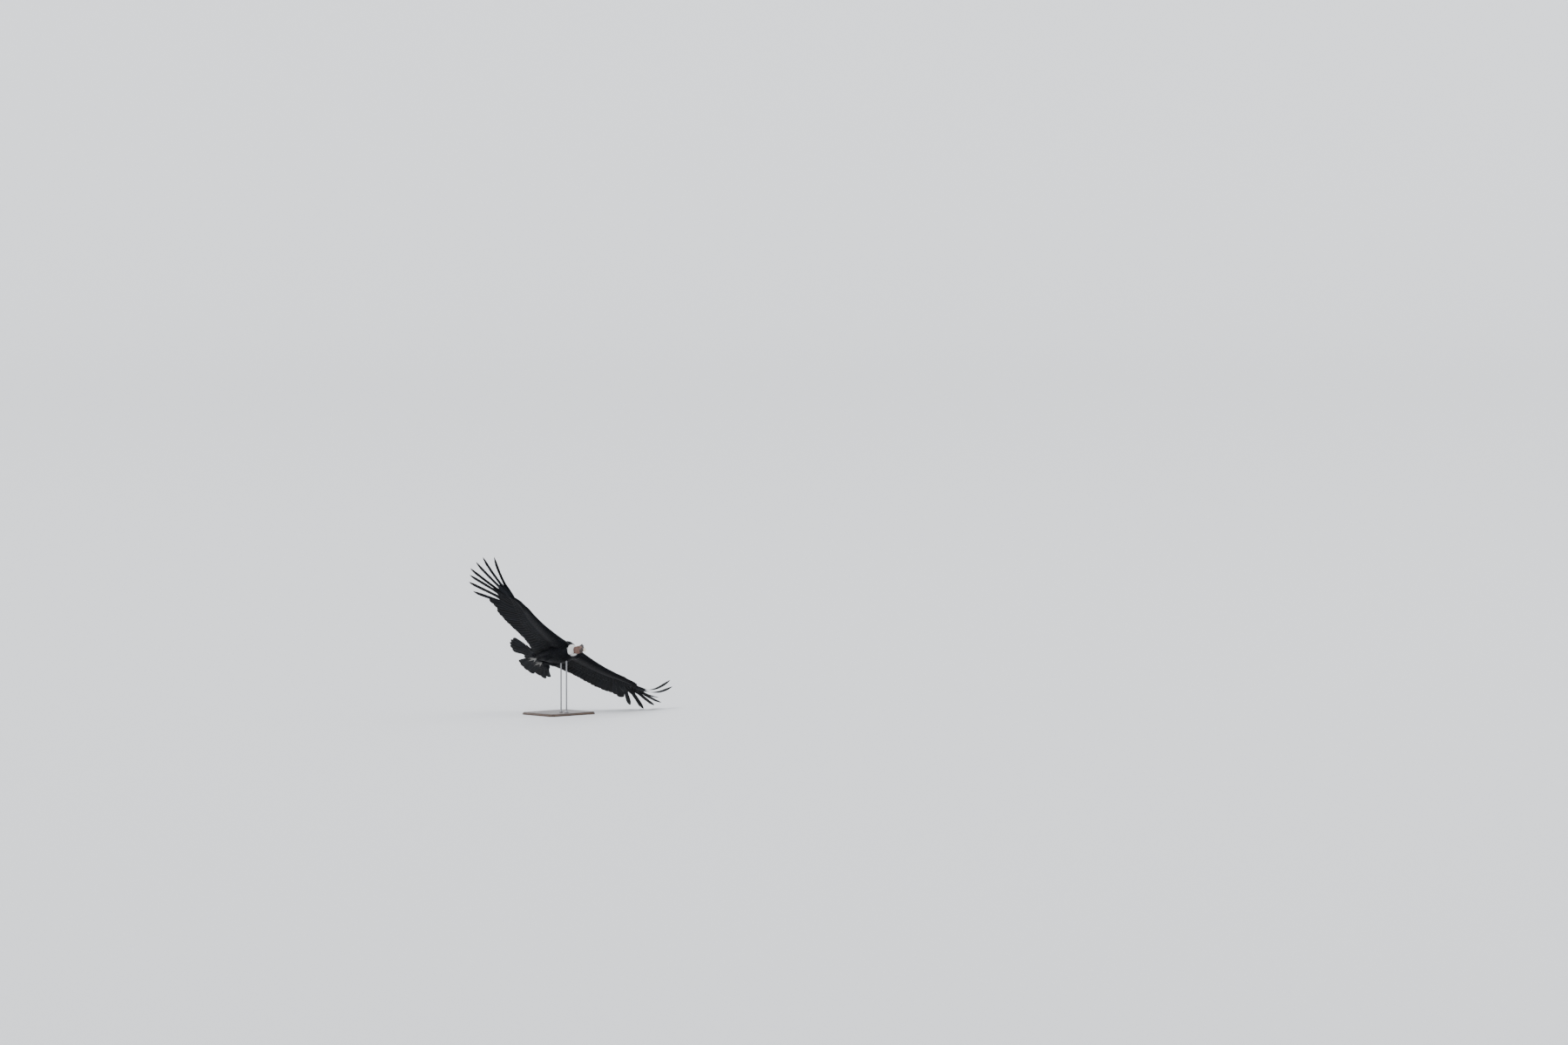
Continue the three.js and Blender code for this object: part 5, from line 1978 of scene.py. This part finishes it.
    def tree(self) -> GeometryTree:
        """Locks with barbs between them, each with its patch of the bake map."""
        g = GeometryTree("down_tufts")
        seed = g.input("Seed", "NodeSocketInt")
        patch = g.input("Patch", "NodeSocketFloat")
        finish = g.input("Finish", "NodeSocketMaterial")
        join = g.node("GeometryNodeJoinGeometry")
        for word, sway in (("Lock", 0.35), ("Barb", 0.75)):
            g.tree.links.new(self.scatter(g, word, sway, seed), join.inputs[0])
        real = g.node("GeometryNodeRealizeInstances", None, {"Geometry": join.outputs[0]})
        scaled = {0: self.vector(g, "blade"), "Scale": patch}
        within = g.node("ShaderNodeVectorMath", {"operation": "SCALE"}, scaled)
        parts = {0: self.vector(g, "root"), 1: within.outputs[0]}
        flat = g.node("ShaderNodeVectorMath", {"operation": "ADD"}, parts)
        mapped = g.node(
            "GeometryNodeStoreNamedAttribute",
            {"data_type": "FLOAT2", "domain": "CORNER"},
            {"Geometry": real.outputs[0], "Name": "OFBake", "Value": flat.outputs[0]},
        )
        g.finish(mapped.outputs[0], finish)
        return g

    def build(self, down: Material) -> None:
        """Makes the ruff in three bands, in the place of its node."""
        lock, barbs, tree = self.lock(), self.barbs(), self.tree()
        for i, (name, start, end) in enumerate(self.bands):
            values = {
                "Lock Shape": lock,
                "Lock Spacing": self.lock_spacing,
                "Barb Shape": barbs,
                "Barb Spacing": self.barb_spacing,
                "Seed": 7 + i,
                "Patch": PATCH,
                "Finish": down,
            }
            band = tree.run(self.carrier(start, end), f"ruff_down_{name}", values)
            dress(band, down, [] if i else ["ruff"])
        bpy.data.objects.remove(lock)
        bpy.data.objects.remove(barbs)


@dataclass
class Stand:
    """A flat board with a moulded edge and two steel rods with collars.

    The board's steps hold inset and height. The collar holds radius and height over the board.
    """

    size: Color = (0.64, 0.52, 0.026)
    corner: float = 0.06
    rod: float = 0.008
    collar: Rows = (
        (0.0235, 0.0003), (0.024, 0.0012), (0.024, 0.0042), (0.0225, 0.0056), (0.0152, 0.0068),
        (0.0128, 0.0085), (0.0122, 0.0125), (0.0115, 0.0138), (0.008, 0.0143),
    )  # fmt: skip
    steps: Rows = (
        (0.006, 0.0), (0.001, 0.002), (0.0, 0.006), (0.0, 0.013), (0.002, 0.0165), (0.006, 0.0185),
        (0.0075, 0.021), (0.0085, 0.0245), (0.011, 0.026), (0.05, 0.026), (0.11, 0.026),
    )  # fmt: skip

    def board(self) -> Piece:
        """The board as stepped outlines from its underside to its top."""
        piece = Piece("stand_board")
        a = np.linspace(0, math.pi / 2, 14)
        rings = []
        for inset, z in self.steps:
            r = max(self.corner - inset, 0.01)
            x, y = self.size[0] / 2 - inset - r, self.size[1] / 2 - inset - r
            ring = []
            for quarter, (sx, sy) in enumerate([(1, 1), (-1, 1), (-1, -1), (1, -1)]):
                turn = a + quarter * math.pi / 2
                corner = [sx * x + r * np.cos(turn), sy * y + r * np.sin(turn), z + 0 * turn]
                ring.append(np.stack(corner, -1))
            rings.append(np.vstack(ring))
        piece.add_tube(np.array(rings))
        return piece

    def pole(self, node: str) -> Piece:
        """A rod from its collar up into the body, where its node stands."""
        low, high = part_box(node)
        x, y = (low.x + high.x) / 2, (low.y + high.y) / 2
        inside, steps = 0.012, 24
        radii, heights = np.array(self.collar).T
        radii = np.append(radii, np.full(steps, self.rod))
        heights = np.append(self.size[2] + heights, np.linspace(0.05, high.z + inside, steps))
        piece = Piece(node + "_steel")
        piece.add_tube(turned_round(radii, heights, 48) + [x, y, 0])
        return piece

    def build(self, wood: Material, steel: Material) -> None:
        """Makes the board and the rods in the place of their nodes."""
        dress(self.board().finish(world=True), wood, ["stand_base"])
        for node in ("stand_rod_1", "stand_rod_2"):
            dress(self.pole(node).finish(world=True), steel, [node])


@dataclass(frozen=True)
class Studio:
    """The pale floor that rises far off all round, soft light, and the camera at the photo's framing.

    The lamps hold name, azimuth and elevation in degrees, strength, and how many degrees each lamp spans.
    """

    azimuth: float = -42.0
    elevation: float = 3.15
    lens: float = 200.0
    sensor: float = 36.0
    frame_width: float = 16.75
    aim_right: float = 2.353
    aim_up: float = 1.388
    reach: float = 150.0
    lamps: tuple[tuple[str, float, float, float, float], ...] = (
        ("key", -75, 48, 3.2, 35),
        ("fill", 60, 30, 1.1, 60),
        ("rim", 165, 40, 1.3, 40),
    )
    sky: Color = (0.86, 0.9, 0.96)
    sky_strength: float = 0.75

    def camera(self) -> None:
        """A camera far off, aimed so that the bird stands where the photo has it."""
        back = direction(self.azimuth, self.elevation)
        turn = (-back).to_track_quat("-Z", "Y").to_matrix()
        shoulder = Vector(STANCE.to_world(np.zeros((1, 3)))[0])
        aim = shoulder + turn.col[0] * self.aim_right + turn.col[1] * self.aim_up
        data = bpy.data.cameras.new("camera")
        data.lens, data.sensor_width = self.lens, self.sensor
        data.clip_start, data.clip_end = 1.0, 600.0
        made = bpy.data.objects.new("camera", data)
        made.matrix_world = turn.to_4x4()
        made.location = aim + back * (self.frame_width * self.lens / self.sensor)
        bpy.context.scene.collection.objects.link(made)
        bpy.context.scene.camera = made

    def floor(self) -> None:
        """A round floor whose far edge curves up on every side."""
        angle = np.linspace(0, math.pi / 2, 16)[1:]
        bend, around = self.reach * 0.3, 96
        flat = self.reach - bend
        radii = np.concatenate([[0.5, 5, 40, flat], flat + bend * np.sin(angle), [self.reach]])
        heights = np.concatenate([[0] * 4, bend * (1 - np.cos(angle)), [self.reach * 0.7]])
        points = np.vstack([turned_round(radii, heights, around).reshape(-1, 3), [[0, 0, 0]]])
        k = np.arange(around)
        hub = np.stack([0 * k + len(points) - 1, k, (k + 1) % around, 0 * k - 1], -1)
        piece = Piece("studio_floor")
        piece.add(points, np.vstack([grid_faces(len(radii), around, closed=True, flip=True), hub]))
        made = piece.finish(world=True)
        made.data.materials.append(StudioFinish().build())

    def lights(self) -> None:
        """A broad key from above the camera's left, a fill, a rim light from behind, and an even sky."""
        for name, azimuth, elevation, strength, span in self.lamps:
            data = bpy.data.lights.new(name, "SUN")
            data.energy, data.angle = strength, math.radians(span)
            made = bpy.data.objects.new(name, data)
            back = direction(azimuth, elevation)
            made.matrix_world = (-back).to_track_quat("-Z", "Y").to_matrix().to_4x4()
            bpy.context.scene.collection.objects.link(made)
        world = bpy.data.worlds.new("sky")
        world.use_nodes = True
        background = world.node_tree.nodes["Background"]
        background.inputs["Color"].default_value = (*self.sky, 1)
        background.inputs["Strength"].default_value = self.sky_strength
        bpy.context.scene.world = world

    def build(self) -> None:
        """Sets up camera, floor and lights."""
        self.camera()
        self.floor()
        self.lights()


DARK_HORN = (0.03, 0.026, 0.023)
BLACK_TIP = (0.012, 0.011, 0.01)
RED_BROWN_HORN = (0.03, 0.014, 0.013)
IVORY = (0.72, 0.65, 0.5)


def main() -> None:
    """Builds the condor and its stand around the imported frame."""
    logging.basicConfig(level=logging.INFO, format="%(name)s: %(message)s")
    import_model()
    plumage = PlumageFinish().build()
    skin = SkinFinish().build()
    claw = HornFinish("dark_claw", DARK_HORN, BLACK_TIP, 0.2, 0.9).build()
    bill = HornFinish("bill_horn", RED_BROWN_HORN, IVORY, 0.36, 0.62).build()
    feet = [Foot(side) for side in Side]
    Skin(HeadAndNeck(), feet).build(skin)
    for foot in feet:
        foot.claws(claw)
    Comb().build(CombFinish().build())
    Bill().build(bill)
    eye = EyeFinish().build()
    for side in Side:
        Eye(side).build(eye)
        Wing(side).build(plumage)
    Tail().build(plumage)
    BodyFeathers("torso_feathers", TORSO, 133, -396).build(plumage, 41)
    for side in Side:
        name = f"thigh_feathers_{side.word}"
        size = {"pitch": 13.0, "length": (40.0, 50.0), "width": 22.0, "rise": (1.5, 7.0)}
        BodyFeathers(name, thigh_form(side), -30, -322, **size).build(plumage, 43)
    Ruff().build(DownFinish().build())
    Stand().build(BoardFinish().build(), SteelFinish().build())
    Studio().build()


if __name__ == "__main__":
    main()
